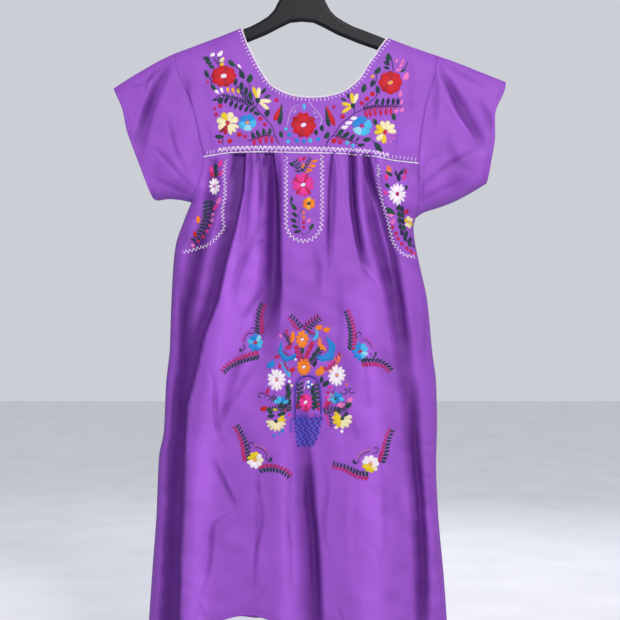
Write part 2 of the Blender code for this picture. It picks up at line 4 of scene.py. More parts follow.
import bmesh
import bpy
import numpy as np
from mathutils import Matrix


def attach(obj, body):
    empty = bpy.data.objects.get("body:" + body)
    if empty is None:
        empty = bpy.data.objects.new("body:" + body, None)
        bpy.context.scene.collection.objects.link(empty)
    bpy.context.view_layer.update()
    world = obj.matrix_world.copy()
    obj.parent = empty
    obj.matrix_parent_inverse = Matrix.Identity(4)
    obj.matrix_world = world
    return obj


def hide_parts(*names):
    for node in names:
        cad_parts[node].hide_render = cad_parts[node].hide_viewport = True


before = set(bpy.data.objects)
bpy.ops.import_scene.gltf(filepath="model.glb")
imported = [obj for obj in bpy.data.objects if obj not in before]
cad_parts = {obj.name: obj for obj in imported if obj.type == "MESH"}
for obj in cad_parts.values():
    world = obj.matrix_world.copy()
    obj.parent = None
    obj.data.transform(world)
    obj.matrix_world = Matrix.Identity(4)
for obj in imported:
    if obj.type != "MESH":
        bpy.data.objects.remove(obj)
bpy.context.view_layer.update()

# The frame is in metres. Form and stitches are worked out in millimetres across (+X) and dropped from the
# inside of the hook's crown (-Z), and turned into metres when a mesh is made.
mm = 0.001
draws = np.random.default_rng(7)

shell = {
    "wall": 0.9, "seamGap": 0.3, "edgeSlack": 0.2,
    "skirtColumns": 196, "skirtRows": 190, "yokeColumns": 120, "yokeRows": 64,
    "sleeveColumns": 76, "sleeveRows": 44,
}
photo = {"pixel": 1.71, "middle": 302.0, "hookAbove": 56.6, "side": 620, "distance": 2200.0}
hem = {"drop": 1161.0, "liftAcross": -93.0, "liftHalf": 100.0, "lift": 23.0, "turn": 6.0}
slit = {"top": 985.0, "opening": 2.4}

# Outlines seen from the front, as (across, drop) in millimetres.
leftShoulder = ((-218, 188.5), (-180, 174.5), (-143, 160.5), (-105, 145.5))
rightShoulder = ((149, 162.7), (180, 174.5), (229, 191.5))
neckline = (
    (-105, 145.5), (-95, 176), (-87, 192), (-78, 210), (-69, 226), (-57, 244), (-44, 254),
    (-26, 262.5), (-7, 267.5), (14, 269), (35, 268), (56, 264), (74, 257), (90, 245),
    (102, 232), (112, 215), (124, 198), (136, 180), (149, 162.7),
)
yokeSeam = (
    (-166, 368), (-138, 363), (-107, 360), (-70, 359.5), (-12, 360.5), (44, 361.5),
    (100, 364.5), (129, 368), (150, 373), (172, 376), (196, 378.5),
)
leftArmhole = (
    (-218, 188.5), (-215, 208), (-206, 236), (-194, 258), (-184, 288), (-177, 317),
    (-171, 346), (-166, 368), (-170, 392), (-178, 420), (-189, 443),
)
rightArmhole = (
    (229, 191.5), (226, 226), (217, 256), (209, 282), (203, 316), (199, 346),
    (196, 378.5), (197, 410), (198, 440), (194, 470),
)
leftSleeveTop = ((-218, 188.5), (-243, 200.5), (-269, 215), (-296, 231), (-322, 248))
rightSleeveTop = ((229, 191.5), (254, 200), (279, 209.5), (314, 223.5), (348, 237))
leftSleeveUnder = ((-189, 443), (-209, 439), (-228, 437.5), (-247, 440), (-254, 437))
rightSleeveUnder = ((194, 470), (207, 461), (231, 453), (257, 443.5), (287, 428), (315, 411))
leftCuff = ((-322, 248), (-304, 288), (-297, 321), (-283, 360), (-271, 391), (-254, 437))
rightCuff = ((348, 237), (345, 251), (327, 299), (327, 331), (321, 372), (315, 411))
leftSide = (
    (-189, 443), (-196, 459), (-203, 477), (-215, 512), (-219.6, 545), (-224.5, 640),
    (-226, 690), (-232.5, 753), (-236.3, 834), (-244.5, 877), (-246.5, 916), (-249.2, 984),
    (-255.5, 1079), (-260.6, hem["drop"]),
)
rightSide = (
    (194, 470), (190.7, 486), (192, 502), (199.4, 542), (214, 610), (223, 700),
    (229.5, 753), (231, 824), (229.5, 890), (233.4, 984), (241.4, 1079), (247, hem["drop"]),
)

# How far the cloth stands off the middle plane, and how far in from a closed edge it takes to get there.
Girth = namedtuple("Girth", "drop front back reach")
girths = (
    Girth(140, 22, 21, 38), Girth(190, 23, 22, 38), Girth(250, 27, 25, 42), Girth(360, 33, 29, 50),
    Girth(450, 38, 33, 58), Girth(640, 43, 37, 66), Girth(900, 46, 40, 72), Girth(1161, 50, 43, 76),
)

# Large folds run down the cloth: place, rise (negative for a valley) and half width at each drop.
Fold = namedtuple("Fold", "name lean drops across rises halfWidths")
frontFolds = (
    Fold("left underarm valley", 0.1, (385, 430, 530, 640, 780, 920, 1050, 1161),
         (-145, -150, -176, -199, -216, -226, -230, -233), (0, -7, -13, -14, -13, -13, -13, -13),
         (14, 18, 24, 27, 27, 25, 24, 24)),
    Fold("left bust ridge", -0.25, (400, 460, 530, 640, 780, 920, 1050, 1161),
         (-110, -112, -119, -131, -153, -173, -180, -182), (0, 4, 7, 8, 8, 8, 7, 7),
         (24, 28, 32, 36, 36, 34, 34, 34)),
    Fold("first left pleat", 0.0, (361, 385, 440, 510, 560), (-87, -88, -92, -100, -106),
         (0, -4, -4.5, -3, 0), (9, 9, 10, 12, 14)),
    Fold("second left pleat", 0.0, (361, 385, 440, 500, 545), (-63, -64, -66, -68, -70),
         (0, -4, -4.5, -2.5, 0), (9, 9, 10, 12, 14)),
    Fold("valley left of the strip", 0.2, (361, 390, 440, 530, 610, 680, 750),
         (-41, -42, -44, -48, -54, -60, -64), (0, -8, -13, -14, -11, -4, 0),
         (13, 14, 18, 22, 25, 27, 28)),
    Fold("ridge left of the strip", 0.0, (380, 440, 530, 620, 720, 820),
         (-72, -76, -80, -88, -98, -104), (0, 3, 5, 6, 4, 0), (18, 20, 24, 28, 32, 34)),
    Fold("first right pleat", 0.0, (361, 385, 440, 500, 560), (50, 50, 50, 46, 44),
         (0, -5, -6, -5, 0), (9, 10, 10, 11, 13)),
    Fold("second right pleat", 0.0, (362, 385, 440, 500, 550), (78, 80, 86, 94, 100),
         (0, -4, -5, -4, 0), (9, 9, 10, 12, 14)),
    Fold("right bust valley", -0.1, (365, 390, 440, 510, 560, 610, 700, 790, 920, 1050, 1161),
         (104, 108, 113, 126, 140, 153, 168, 181, 191, 198, 201),
         (0, -6, -10, -12, -13, -13, -10, -9, -10, -12, -12),
         (12, 13, 15, 18, 20, 22, 24, 24, 20, 18, 18)),
    Fold("right hip ridge", 0.1, (560, 640, 760, 900, 1161), (100, 106, 112, 118, 120),
         (0, 4, 6, 6, 6), (34, 40, 46, 46, 46)),
    Fold("centre valley", 0.35, (720, 800, 880, 960, 1060, 1161), (-6, 0, 8, 14, 20, 26),
         (0, -4, -9, -12, -13, -13), (22, 22, 21, 21, 23, 24)),
    Fold("ridge left of the centre", 0.0, (760, 860, 960, 1161), (-36, -32, -28, -24),
         (0, 4, 6, 6), (30, 30, 28, 28)),
    Fold("left sleeve valley", 0.1, (205, 240, 290, 335, 365), (-222, -237, -258, -270, -276),
         (0, -5, -7, -5, 0), (11, 13, 15, 15, 14)),
    Fold("right sleeve valley", 0.0, (225, 255, 290, 330, 360), (238, 256, 276, 296, 306),
         (0, -5, -6, -5, 0), (11, 13, 15, 15, 14)),
)
backFolds = (
    Fold("left back valley", -0.1, (385, 440, 560, 700, 900, 1161),
         (-120, -130, -154, -176, -194, -202), (0, -7, -11, -12, -12, -12),
         (15, 18, 24, 27, 27, 27)),
    Fold("left back pleat", 0.0, (361, 390, 450, 540), (-78, -80, -86, -94),
         (0, -4, -4.5, 0), (10, 10, 11, 14)),
    Fold("centre left valley", 0.1, (365, 400, 480, 600, 800, 1000, 1161),
         (-34, -38, -46, -58, -66, -72, -76), (0, -6, -9, -10, -8, -9, -9),
         (12, 14, 18, 24, 28, 28, 28)),
    Fold("centre back ridge", 0.0, (420, 560, 760, 1161), (2, 4, 6, 6), (0, 5, 6, 6),
         (26, 34, 40, 40)),
    Fold("centre right valley", -0.1, (365, 400, 480, 600, 800, 1000, 1161),
         (42, 46, 54, 66, 76, 84, 88), (0, -6, -9, -10, -9, -9, -9), (12, 14, 18, 24, 28, 28, 28)),
    Fold("right back pleat", 0.0, (361, 390, 450, 540), (92, 94, 99, 106),
         (0, -4, -4.5, 0), (10, 10, 11, 14)),
    Fold("right back valley", 0.1, (385, 440, 560, 700, 900, 1161),
         (138, 146, 158, 172, 184, 190), (0, -7, -11, -12, -12, -12), (15, 18, 22, 25, 25, 25)),
)

# Creases are narrower and go in any direction: points as (across, drop), the rise at their middle, and the
# half width, or one for each side. A soft crease fades at both ends, a pleat starts at full depth under its
# seam, and a full one keeps its depth all the way.
Crease = namedtuple("Crease", "points rise half ends")
frontCreases = (
    # The pleats step back from the flat strip: each has a steep flank towards the strip.
    Crease(((-98, 363), (-102, 436), (-126, 531), (-142, 606), (-164, 661), (-181, 733), (-194, 776),
            (-199, 851), (-202, 960), (-207, 1080), (-207, 1161)), -11.0, (34, 6.5), "full"),
    Crease(((-74, 362), (-69, 394), (-67, 436), (-70, 492)), -3.6, (9, 2.8), "pleat"),
    Crease(((-50, 361), (-44, 430), (-39, 512), (-37, 590), (-41, 650), (-50, 715)), -9.5, (26, 5), "pleat"),
    Crease(((51, 361), (49, 385), (46, 425), (44.5, 505), (44, 580)), -5.5, (2.8, 2.4), "pleat"),
    Crease(((82, 362), (83, 400), (84, 452), (92, 505), (102, 555), (107, 600)), -9.5, (4.5, 14), "pleat"),
    Crease(((106, 365), (111, 400), (127, 445), (142, 500), (152, 538), (160, 585), (168, 640), (176, 700),
            (180, 760)), -9.0, (5.5, 15), "pleat"),
    Crease(((186, 740), (190, 850), (200, 960), (206, 1060), (208, 1161)), -7.5, (9, 14), "soft"),
    Crease(((-86, 361), (-88, 400), (-94, 450), (-103, 500)), -1.6, 4.5, "pleat"),
    Crease(((-112, 360), (-117, 395), (-124, 430)), -2.2, 4.0, "pleat"),
    Crease(((120, 367), (130, 400), (142, 440)), -2.2, 4.0, "pleat"),
    Crease(((-58, 470), (-88, 520), (-110, 577), (-120, 640)), -3.4, 10.0, "soft"),
    Crease(((-84, 660), (-104, 706), (-124, 775), (-136, 830)), -3.0, 9.0, "soft"),
    Crease(((-70, 705), (-98, 752), (-126, 790), (-150, 845)), -2.6, 9.0, "soft"),
    Crease(((-76, 830), (-74, 930), (-76, 1040), (-74, 1120)), -1.8, 7.0, "soft"),
    Crease(((-24, 850), (-20, 930), (-22, 1030), (-18, 1120)), -2.0, 7.0, "soft"),
    Crease(((-182, 900), (-176, 1000), (-180, 1110)), 2.2, 11.0, "soft"),
    # The left half hangs in short bent folds.
    Crease(((-156, 719), (-147, 753), (-144, 810), (-129, 856)), -4.4, (7, 9), "soft"),
    Crease(((-149, 875), (-125, 925), (-109, 959)), -4.6, (9, 5), "soft"),
    Crease(((-109, 959), (-149, 992), (-152, 1041), (-166, 1108)), -3.6, (7, 5), "soft"),
    Crease(((-150, 985), (-128, 968), (-112, 966)), 1.6, 5.0, "soft"),
    Crease(((-76, 908), (-67.5, 975), (-79, 1041), (-82, 1114)), -2.8, (3, 6), "soft"),
    Crease(((-16.5, 902), (-25, 959), (-16.5, 1041), (-20, 1108)), -2.6, (6, 3), "soft"),
    Crease(((-178, 1100), (-166, 1128), (-158, 1150)), -1.8, 4.0, "soft"),
    Crease(((-166, 1108), (-176, 1136), (-184, 1152)), -1.6, 4.0, "soft"),
    Crease(((-58, 1086), (-72, 1108), (-84, 1120)), -1.6, 4.5, "soft"),
    Crease(((-82, 520), (-70, 514), (-59, 510)), -2.0, 6.0, "soft"),
    Crease(((-64, 588), (-84, 622), (-109, 652)), -4.0, (10, 7), "soft"),
    Crease(((-52, 640), (-76, 690), (-112, 730)), -2.6, (8, 5), "soft"),
    Crease(((17, 521), (27, 560), (24, 605)), -2.6, 9.0, "soft"),
    Crease(((95, 545), (118, 570), (136, 590)), 2.4, 5.0, "soft"),
    Crease(((12, 861), (10, 942), (19, 1007), (22, 1074), (27, 1150)), -6.5, (7, 18), "soft"),
    Crease(((34, 880), (44, 920), (36, 985), (46, 1040)), -2.2, (10, 5), "soft"),
    Crease(((100, 1010), (128, 1034), (134, 1080)), -1.4, 7.0, "soft"),
    Crease(((60, 1120), (66, 1140), (72, 1152)), -1.8, 5.0, "soft"),
    # Fine cross wrinkles beside the right side seam and at the armholes.
    Crease(((196, 822), (212, 826), (226, 820)), -1.5, 4.0, "soft"),
    Crease(((192, 846), (210, 852), (228, 848)), -1.4, 4.0, "soft"),
    Crease(((198, 874), (214, 872), (228, 878)), -1.3, 3.6, "soft"),
    Crease(((200, 902), (214, 908), (230, 904)), -1.2, 3.6, "soft"),
    Crease(((-213, 730), (-213, 768), (-213, 795)), -2.2, 6.0, "soft"),
    Crease(((-172, 748), (-190, 756), (-214, 752)), -1.6, 4.5, "soft"),
    Crease(((90, 640), (104, 720), (112, 800)), -2.0, 9.0, "soft"),
    Crease(((60, 560), (64, 640), (58, 720)), -1.6, 10.0, "soft"),
    Crease(((130, 870), (140, 960), (136, 1060)), -1.8, 9.0, "soft"),
    Crease(((82, 900), (78, 990), (84, 1090)), 1.6, 12.0, "soft"),
    Crease(((40, 760), (74, 800), (96, 850)), -1.6, 9.0, "soft"),
    Crease(((-212, 560), (-204, 640), (-209, 730)), -2.0, 7.0, "soft"),
    # The cloth sinks beside the left underarm, so its panel is in shade, partly from the lamps and partly
    # painted into the cloth's colour by the fold depth.
    Crease(((-150, 372), (-152, 410), (-166, 450), (-182, 480)), -3.6, (12, 16), "pleat"),
    Crease(((206, 560), (210, 640), (204, 740)), -2.0, 8.0, "soft"),
    Crease(((-212, 192), (-197, 236), (-186, 296)), -2.6, (8, 5), "soft"),
    Crease(((-219, 204), (-240, 234), (-258, 277), (-271, 315), (-281, 350)), -4.8, (13, 4.5), "soft"),
    Crease(((-246, 214), (-262, 240), (-268, 264)), -2.4, (6, 4), "soft"),
    Crease(((-292, 250), (-276, 246), (-262, 248)), -1.6, 4.0, "soft"),
    Crease(((-226, 200), (-256, 232), (-288, 250)), -2.0, 6.0, "soft"),
    Crease(((-184, 424), (-222, 382), (-254, 348)), -3.2, (8, 5), "soft"),
    Crease(((-188, 404), (-214, 352), (-226, 300)), -2.4, (5, 9), "soft"),
    Crease(((-186, 434), (-222, 418), (-258, 400)), -2.0, 5.0, "soft"),
    Crease(((-150, 190), (-160, 240), (-158, 300)), -1.6, 9.0, "soft"),
    Crease(((229, 214), (246, 246), (266, 292), (292, 330), (306, 340)), -4.2, (6, 16), "soft"),
    Crease(((240, 262), (266, 306), (298, 342)), 2.4, 6.0, "soft"),
    Crease(((224, 210), (228, 270), (222, 330)), -2.6, (10, 5), "soft"),
    Crease(((236, 206), (238, 222), (246, 236)), -1.8, 4.0, "soft"),
    Crease(((236, 202), (276, 228), (318, 250)), -2.2, 8.0, "soft"),
    Crease(((300, 268), (316, 300), (322, 330)), -3.0, (10, 6), "soft"),
    Crease(((198, 424), (226, 398), (262, 372), (296, 356)), -3.0, (8, 5), "soft"),
    Crease(((206, 376), (214, 360), (222, 352)), -1.8, 4.0, "soft"),
    Crease(((200, 400), (222, 368), (240, 372)), -2.0, 5.0, "soft"),
    Crease(((204, 404), (204, 430), (203, 450)), -2.2, 3.6, "soft"),
    Crease(((196, 446), (236, 424), (276, 408)), -2.4, (6, 9), "soft"),
    Crease(((242, 330), (262, 376), (300, 400)), -2.4, 10.0, "soft"),
    Crease(((176, 180), (184, 230), (180, 300)), -1.6, 9.0, "soft"),
    Crease(((150, 372), (158, 340), (160, 300)), -1.4, 6.0, "soft"),
    Crease(((-150, 366), (-156, 335), (-160, 300)), -1.4, 6.0, "soft"),
)
backCreases = (
    Crease(((-78, 361), (-80, 400), (-86, 450), (-92, 500)), -3.2, 4.5, "pleat"),
    Crease(((-34, 361), (-37, 405), (-44, 460)), -3.0, 4.5, "pleat"),
    Crease(((42, 361), (45, 405), (52, 460)), -3.0, 4.5, "pleat"),
    Crease(((92, 363), (95, 400), (101, 450)), -3.2, 4.5, "pleat"),
    Crease(((-60, 520), (-92, 580), (-118, 660)), -3.0, 10.0, "soft"),
    Crease(((96, 560), (120, 640), (130, 730)), -2.6, 10.0, "soft"),
    Crease(((20, 700), (-14, 780), (-30, 880)), -2.4, 10.0, "soft"),
    Crease(((-130, 800), (-126, 920), (-136, 1060)), -2.2, 9.0, "soft"),
    Crease(((132, 820), (126, 940), (132, 1080)), -2.2, 9.0, "soft"),
    Crease(((30, 900), (24, 1000), (30, 1110)), -2.0, 8.0, "soft"),
    Crease(((-214, 192), (-236, 240), (-262, 300)), -2.8, 8.0, "soft"),
    Crease(((-186, 424), (-222, 384), (-258, 352)), -2.6, 9.0, "soft"),
    Crease(((228, 204), (252, 250), (280, 310)), -3.0, 8.0, "soft"),
    Crease(((198, 430), (240, 392), (290, 372)), -2.6, 9.0, "soft"),
    Crease(((-140, 190), (-120, 240), (-70, 280)), -1.8, 10.0, "soft"),
    Crease(((178, 190), (150, 250), (96, 292)), -1.8, 10.0, "soft"),
)


def smooth(at, xs, ys):
    # Monotone cubic through the points, held level past both ends.
    xs, ys = np.asarray(xs, float), np.asarray(ys, float)
    steps = np.diff(xs)
    slopes = np.diff(ys) / steps
    tangents = np.concatenate([slopes[:1], np.zeros(len(xs) - 2), slopes[-1:]])
    product = slopes[:-1] * slopes[1:]
    turning = product <= 0
    total = np.where(turning, 1.0, slopes[:-1] + slopes[1:])
    tangents[1:-1] = np.where(turning, 0.0, 2 * product / total)
    at = np.clip(at, xs[0], xs[-1])
    i = np.clip(np.searchsorted(xs, at) - 1, 0, len(steps) - 1)
    t = (at - xs[i]) / steps[i]
    rise = ys[i] * (2 * t**3 - 3 * t**2 + 1) + ys[i + 1] * (3 * t**2 - 2 * t**3)
    bend = tangents[i] * (t**3 - 2 * t**2 + t) + tangents[i + 1] * (t**3 - t**2)
    return rise + bend * steps[i]


def smoothstep(q):
    q = np.clip(q, 0, 1)
    return q * q * (3 - 2 * q)


def lengthsOf(points):
    return np.concatenate([[0], np.cumsum(np.linalg.norm(np.diff(points, axis=0), axis=1))])


def path(points, shares):
    points = np.array(points, float)
    lengths = lengthsOf(points)
    at = np.asarray(shares) * lengths[-1]
    return np.stack([smooth(at, lengths, points[:, k]) for k in range(points.shape[1])], -1)


def shareAt(points, corner):
    points = np.array(points, float)
    lengths = lengthsOf(points)
    return lengths[np.argmin(np.linalg.norm(points - corner, axis=1))] / lengths[-1]


def spacedAlong(points, step):
    fine = path(points, np.linspace(0, 1, 200))
    lengths = lengthsOf(fine)
    count = max(2, round(lengths[-1] / step) + 1)
    at = np.linspace(0, lengths[-1], count)
    return np.stack([np.interp(at, lengths, fine[:, k]) for k in range(fine.shape[1])], -1)


def nearestOn(line, across, drop):
    # Distance from each place to a polyline, how far along it the nearest place is, and whether the place is
    # on the right of a line that runs down the cloth.
    best, along = np.full(across.shape, np.inf), np.zeros(across.shape)
    onRight = np.zeros(across.shape, bool)
    for i, (a, b) in enumerate(zip(line[:-1], line[1:])):
        run = b - a
        t = np.clip(((across - a[0]) * run[0] + (drop - a[1]) * run[1]) / (run @ run), 0, 1)
        far = np.hypot(across - a[0] - t * run[0], drop - a[1] - t * run[1])
        closer = far < best
        along = np.where(closer, i + t, along)
        onRight = np.where(closer, (across - a[0]) * run[1] > (drop - a[1]) * run[0], onRight)
        best = np.minimum(best, far)
    return best, along / (len(line) - 1), onRight


closedEdges = [
    path(edge, np.linspace(0, 1, 90))
    for edge in (leftShoulder, leftSleeveTop, rightShoulder, rightSleeveTop,
                 leftSleeveUnder, leftSide, rightSleeveUnder, rightSide)
]


def edgeDistance(across, drop):
    nearest = np.full(across.shape, np.inf)
    for edge in closedEdges:
        nearest = np.minimum(nearest, nearestOn(edge, across, drop)[0])
    # The slack keeps both faces together along a seam, where a curve and its straight pieces differ a little.
    opened = np.clip((drop - slit["top"]) / (hem["drop"] - slit["top"]), 0, 1)
    return np.maximum(nearest - shell["edgeSlack"], 0) + slit["opening"] * opened


def foldRelief(folds, across, drop):
    relief = np.zeros(across.shape)
    for fold in folds:
        centre = smooth(drop, fold.drops, fold.across)
        half = smooth(drop, fold.drops, fold.halfWidths)
        rise = smooth(drop, fold.drops, fold.rises) * (drop >= fold.drops[0])
        offset = across - centre
        q = offset / (half * np.where(offset < 0, 1 + fold.lean, 1 - fold.lean))
        relief += rise * np.where(np.abs(q) < 1, 0.5 + 0.5 * np.cos(np.pi * q), 0)
    return relief


def gathers():
    # Short puckers where the skirt is drawn into the yoke seam, between the pressed pleats.
    made = []
    for x in np.arange(-156, 190, 9.0):
        if -27 < x < 33:
            continue
        x += draws.uniform(-2.5, 2.5)
        top = float(smooth(x, [p[0] for p in yokeSeam], [p[1] for p in yokeSeam]))
        drift = (x - 10) * draws.uniform(0.05, 0.14)
        length = draws.uniform(18, 60)
        made.append(Crease(((x, top), (x + drift / 2, top + length / 2), (x + drift, top + length)),
                           -draws.uniform(0.8, 2.0), draws.uniform(2.6, 4.2), "pleat"))
    return tuple(made)


seamGathers = gathers()


def creaseRelief(creases, across, drop):
    relief = np.zeros(across.shape)
    for crease in creases:
        line = path(crease.points, np.linspace(0, 1, 14))
        leftHalf, rightHalf = crease.half if isinstance(crease.half, tuple) else (crease.half, crease.half)
        widest = max(leftHalf, rightHalf)
        low, high = line.min(0) - widest, line.max(0) + widest
        near = (across > low[0]) & (across < high[0]) & (drop > low[1]) & (drop < high[1])
        if crease.ends != "soft":
            near &= drop >= line[0, 1] - 0.01
        if not near.any():
            continue
        far, along, onRight = nearestOn(line, across[near], drop[near])
        half = np.where(onRight, rightHalf, leftHalf)
        shape = np.cos(np.clip(far / half, 0, 1) * np.pi / 2) ** 2
        fade = {
            "soft": np.sin(np.pi * np.clip(along, 0, 1)) ** 0.8,
            "pleat": 1 - smoothstep((along - 0.5) / 0.5),
            "full": np.ones(along.shape),
        }[crease.ends]
        relief[near] += crease.rise * shape * fade
    return relief


crumple = {"waves": 18, "shortest": 26.0, "longest": 74.0, "height": 0.27}


def crumpleWaves():
    # Faint waves in all directions, which together make the softly crumpled surface of worn cotton.
    turns = draws.uniform(0, np.pi, crumple["waves"])
    lengths = np.geomspace(crumple["shortest"], crumple["longest"], crumple["waves"])
    phases = draws.uniform(0, 2 * np.pi, crumple["waves"])
    heights = crumple["height"] * lengths / lengths.mean()
    rates = 2 * np.pi / lengths
    return tuple(zip(np.cos(turns) * rates, np.sin(turns) * rates, phases, heights))


surfaceWaves = crumpleWaves()


def crumpleRelief(across, drop):
    relief = np.zeros(across.shape)
    for waveAcross, waveDown, phase, height in surfaceWaves:
        bent = across + 7 * np.sin(drop / 61 + phase)
        relief += height * np.sin(waveAcross * bent + waveDown * drop + phase)
    # Fewer crumples where two troughs meet, so the surface isn't even all over.
    patches = 0.6 + 0.4 * np.sin(across / 83 + 1.3) * np.sin(drop / 97 + 0.4)
    return relief * patches * np.where(drop < 360, 0.55, 1.0)


def standOff(across, drop, side):
    # How far the outer face stands from the middle plane, and a weighted sum of its folds, creases and
    # crumples that sets the painted shade in the cloth's colour.
    across, drop = np.asarray(across, float), np.asarray(drop, float)
    distance = edgeDistance(across, drop)
    drops = [g.drop for g in girths]
    full = smooth(drop, drops, [g.front if side < 0 else g.back for g in girths])
    reach = smooth(drop, drops, [g.reach for g in girths])
    full = full * (1 - 0.28 * smoothstep((np.abs(across) - 200) / 120) * (drop < leftSide[0][1] + 26))
    rounded = np.sqrt(1 - (1 - np.clip(distance / reach, 0, 1)) ** 2)
    large = foldRelief(frontFolds if side < 0 else backFolds, across, drop) * smoothstep(distance / 26)
    creases = (frontCreases if side < 0 else backCreases) + seamGathers
    small = creaseRelief(creases, across, drop) * smoothstep(distance / 12)
    crumpling = crumpleRelief(across, drop) * smoothstep(distance / 16)
    return full * rounded + large + small + crumpling, large * 0.8 + small * 1.5 + crumpling * 1.2


def place(points, side, lift=0.0):
    # Places on the cloth's outer face, in millimetres of the row frame, and the face's outward normals.
    points = np.asarray(points, float)
    across, drop = points[..., 0], points[..., 1]
    step = 0.6

    def outAt(aside, down):
        return standOff(across + aside, drop + down, side)[0]

    out = outAt(0, 0)
    slopeAcross = (outAt(step, 0) - outAt(-step, 0)) / (2 * step)
    slopeDown = (outAt(0, step) - outAt(0, -step)) / (2 * step)
    normals = np.stack([-slopeAcross, np.full(across.shape, float(side)), slopeDown], -1)
    normals /= np.linalg.norm(normals, axis=-1, keepdims=True)
    spots = np.stack([across, side * (out + shell["seamGap"] / 2), -drop], -1)
    return spots + normals * np.asarray(lift)[..., None], normals


def coons(top, bottom, left, right, u, v):
    u, v = u[None, :, None], v[:, None, None]
    across = (1 - v) * top[None] + v * bottom[None]
    down = (1 - u) * left[:, None] + u * right[:, None]
    corners = (1 - v) * ((1 - u) * top[0] + u * top[-1]) + v * ((1 - u) * bottom[0] + u * bottom[-1])
    return across + down - corners


def closeAtEnds(count, share=0.09):
    # Shares from 0 to 1 that get closer near both ends, where the cloth turns round an edge.
    ends = max(6, round(count * share * 1.6))
    near = share * np.linspace(0, 1, ends + 1) ** 2
    middle = np.linspace(share, 1 - share, count - 2 * ends + 1)
    return np.concatenate([near[:-1], middle, 1 - near[::-1][1:]])


def closeAtStart(count, share=0.12):
    ends = max(6, round(count * share * 1.6))
    near = share * np.linspace(0, 1, ends + 1) ** 2
    return np.concatenate([near[:-1], np.linspace(share, 1, count - ends + 1)])


def yokeGrid():
    side, count = closeAtEnds(22, 0.02), shell["yokeColumns"]
    neck = closeAtEnds(count, 0.06)[1:-1]
    top = np.concatenate([path(leftShoulder, side), path(neckline, neck), path(rightShoulder, side)])
    width = yokeSeam[-1][0] - yokeSeam[0][0]
    corners = [(corner[0] - yokeSeam[0][0]) / width for corner in (neckline[0], neckline[-1])]
    places = [0, len(side) - 1, len(side) + len(neck), len(top) - 1]
    shares = np.interp(np.arange(len(top)), places, [0, *corners, 1])
    rows = closeAtStart(shell["yokeRows"])
    left = path(leftArmhole, rows * shareAt(leftArmhole, yokeSeam[0]))
    right = path(rightArmhole, rows * shareAt(rightArmhole, yokeSeam[-1]))
    return coons(top, path(yokeSeam, shares), left, right, shares, rows)


def closerAtPleats(count):
    # Shares across the skirt whose spacing is finest at the pleats and where the cloth turns round an edge.
    fine = np.linspace(0, 1, 2000)
    across = yokeSeam[0][0] + (yokeSeam[-1][0] - yokeSeam[0][0]) * fine
    crowd = 1.0 + 1.1 * ((np.abs(across + 70) < 42) | (np.abs(across - 82) < 42))
    crowd += 5.0 * np.clip(1 - np.minimum(fine, 1 - fine) / 0.03, 0, 1)
    total = np.concatenate([[0], np.cumsum((crowd[1:] + crowd[:-1]) / 2)])
    return np.interp(np.linspace(0, total[-1], count), total, fine)


def skirtGrid(lifted):
    lines = []
    for armhole, seamEnd, side in (
        (leftArmhole, yokeSeam[0], leftSide), (rightArmhole, yokeSeam[-1], rightSide),
    ):
        start = shareAt(armhole, seamEnd)
        upper = path(armhole, start + (1 - start) * np.linspace(0, 1, 24))
        lines.append(np.concatenate([upper, path(side, np.linspace(0, 1, shell["skirtRows"] + 1)[1:])]))
    left, right = lines
    u = closerAtPleats(shell["skirtColumns"])
    ends = np.stack([left[-1, 0] + (right[-1, 0] - left[-1, 0]) * u, np.full(len(u), hem["drop"])], -1)
    if lifted:
        near = np.clip(np.abs(ends[:, 0] - hem["liftAcross"]) / hem["liftHalf"], 0, 1)
        ends[:, 1] -= hem["lift"] * (0.5 + 0.5 * np.cos(np.pi * near))
    drops = 0.5 * (left[:, 1] + right[:, 1])
    v = (drops - drops[0]) / (drops[-1] - drops[0])
    grid = coons(path(yokeSeam, u), ends, left, right, u, v)
    grid[0, :, 1] += shell["seamGap"]
    return grid


def sleeveGrid(armhole, top, under, cuff, outward):
    shares, v = closeAtEnds(shell["sleeveColumns"], 0.12), np.linspace(0, 1, shell["sleeveRows"])
    grid = coons(path(armhole, shares), path(cuff, shares), path(top, v), path(under, v), shares, v)
    grid[0, :, 0] += outward * shell["seamGap"]
    return grid


def clothFace(grid, side):
    out, folds = standOff(grid[..., 0], grid[..., 1], side)
    points = np.stack([grid[..., 0], side * (out + shell["seamGap"] / 2), -grid[..., 1]], -1)
    return points, folds


def makeMesh(name, points, faces, material, attributes=()):
    mesh = bpy.data.meshes.new(name)
    mesh.from_pydata((np.asarray(points) * mm).tolist(), [], faces)
    for key, kind, values in attributes:
        layer = mesh.attributes.new(key, kind, "POINT")
        slotName = {"FLOAT": "value", "FLOAT_VECTOR": "vector", "FLOAT_COLOR": "color"}[kind]
        layer.data.foreach_set(slotName, np.asarray(values, np.float32).ravel())
    if len(faces):
        mesh.shade_smooth()
    if material:
        mesh.materials.append(material)
    made = bpy.data.objects.new(name, mesh)
    bpy.context.scene.collection.objects.link(made)
    return made


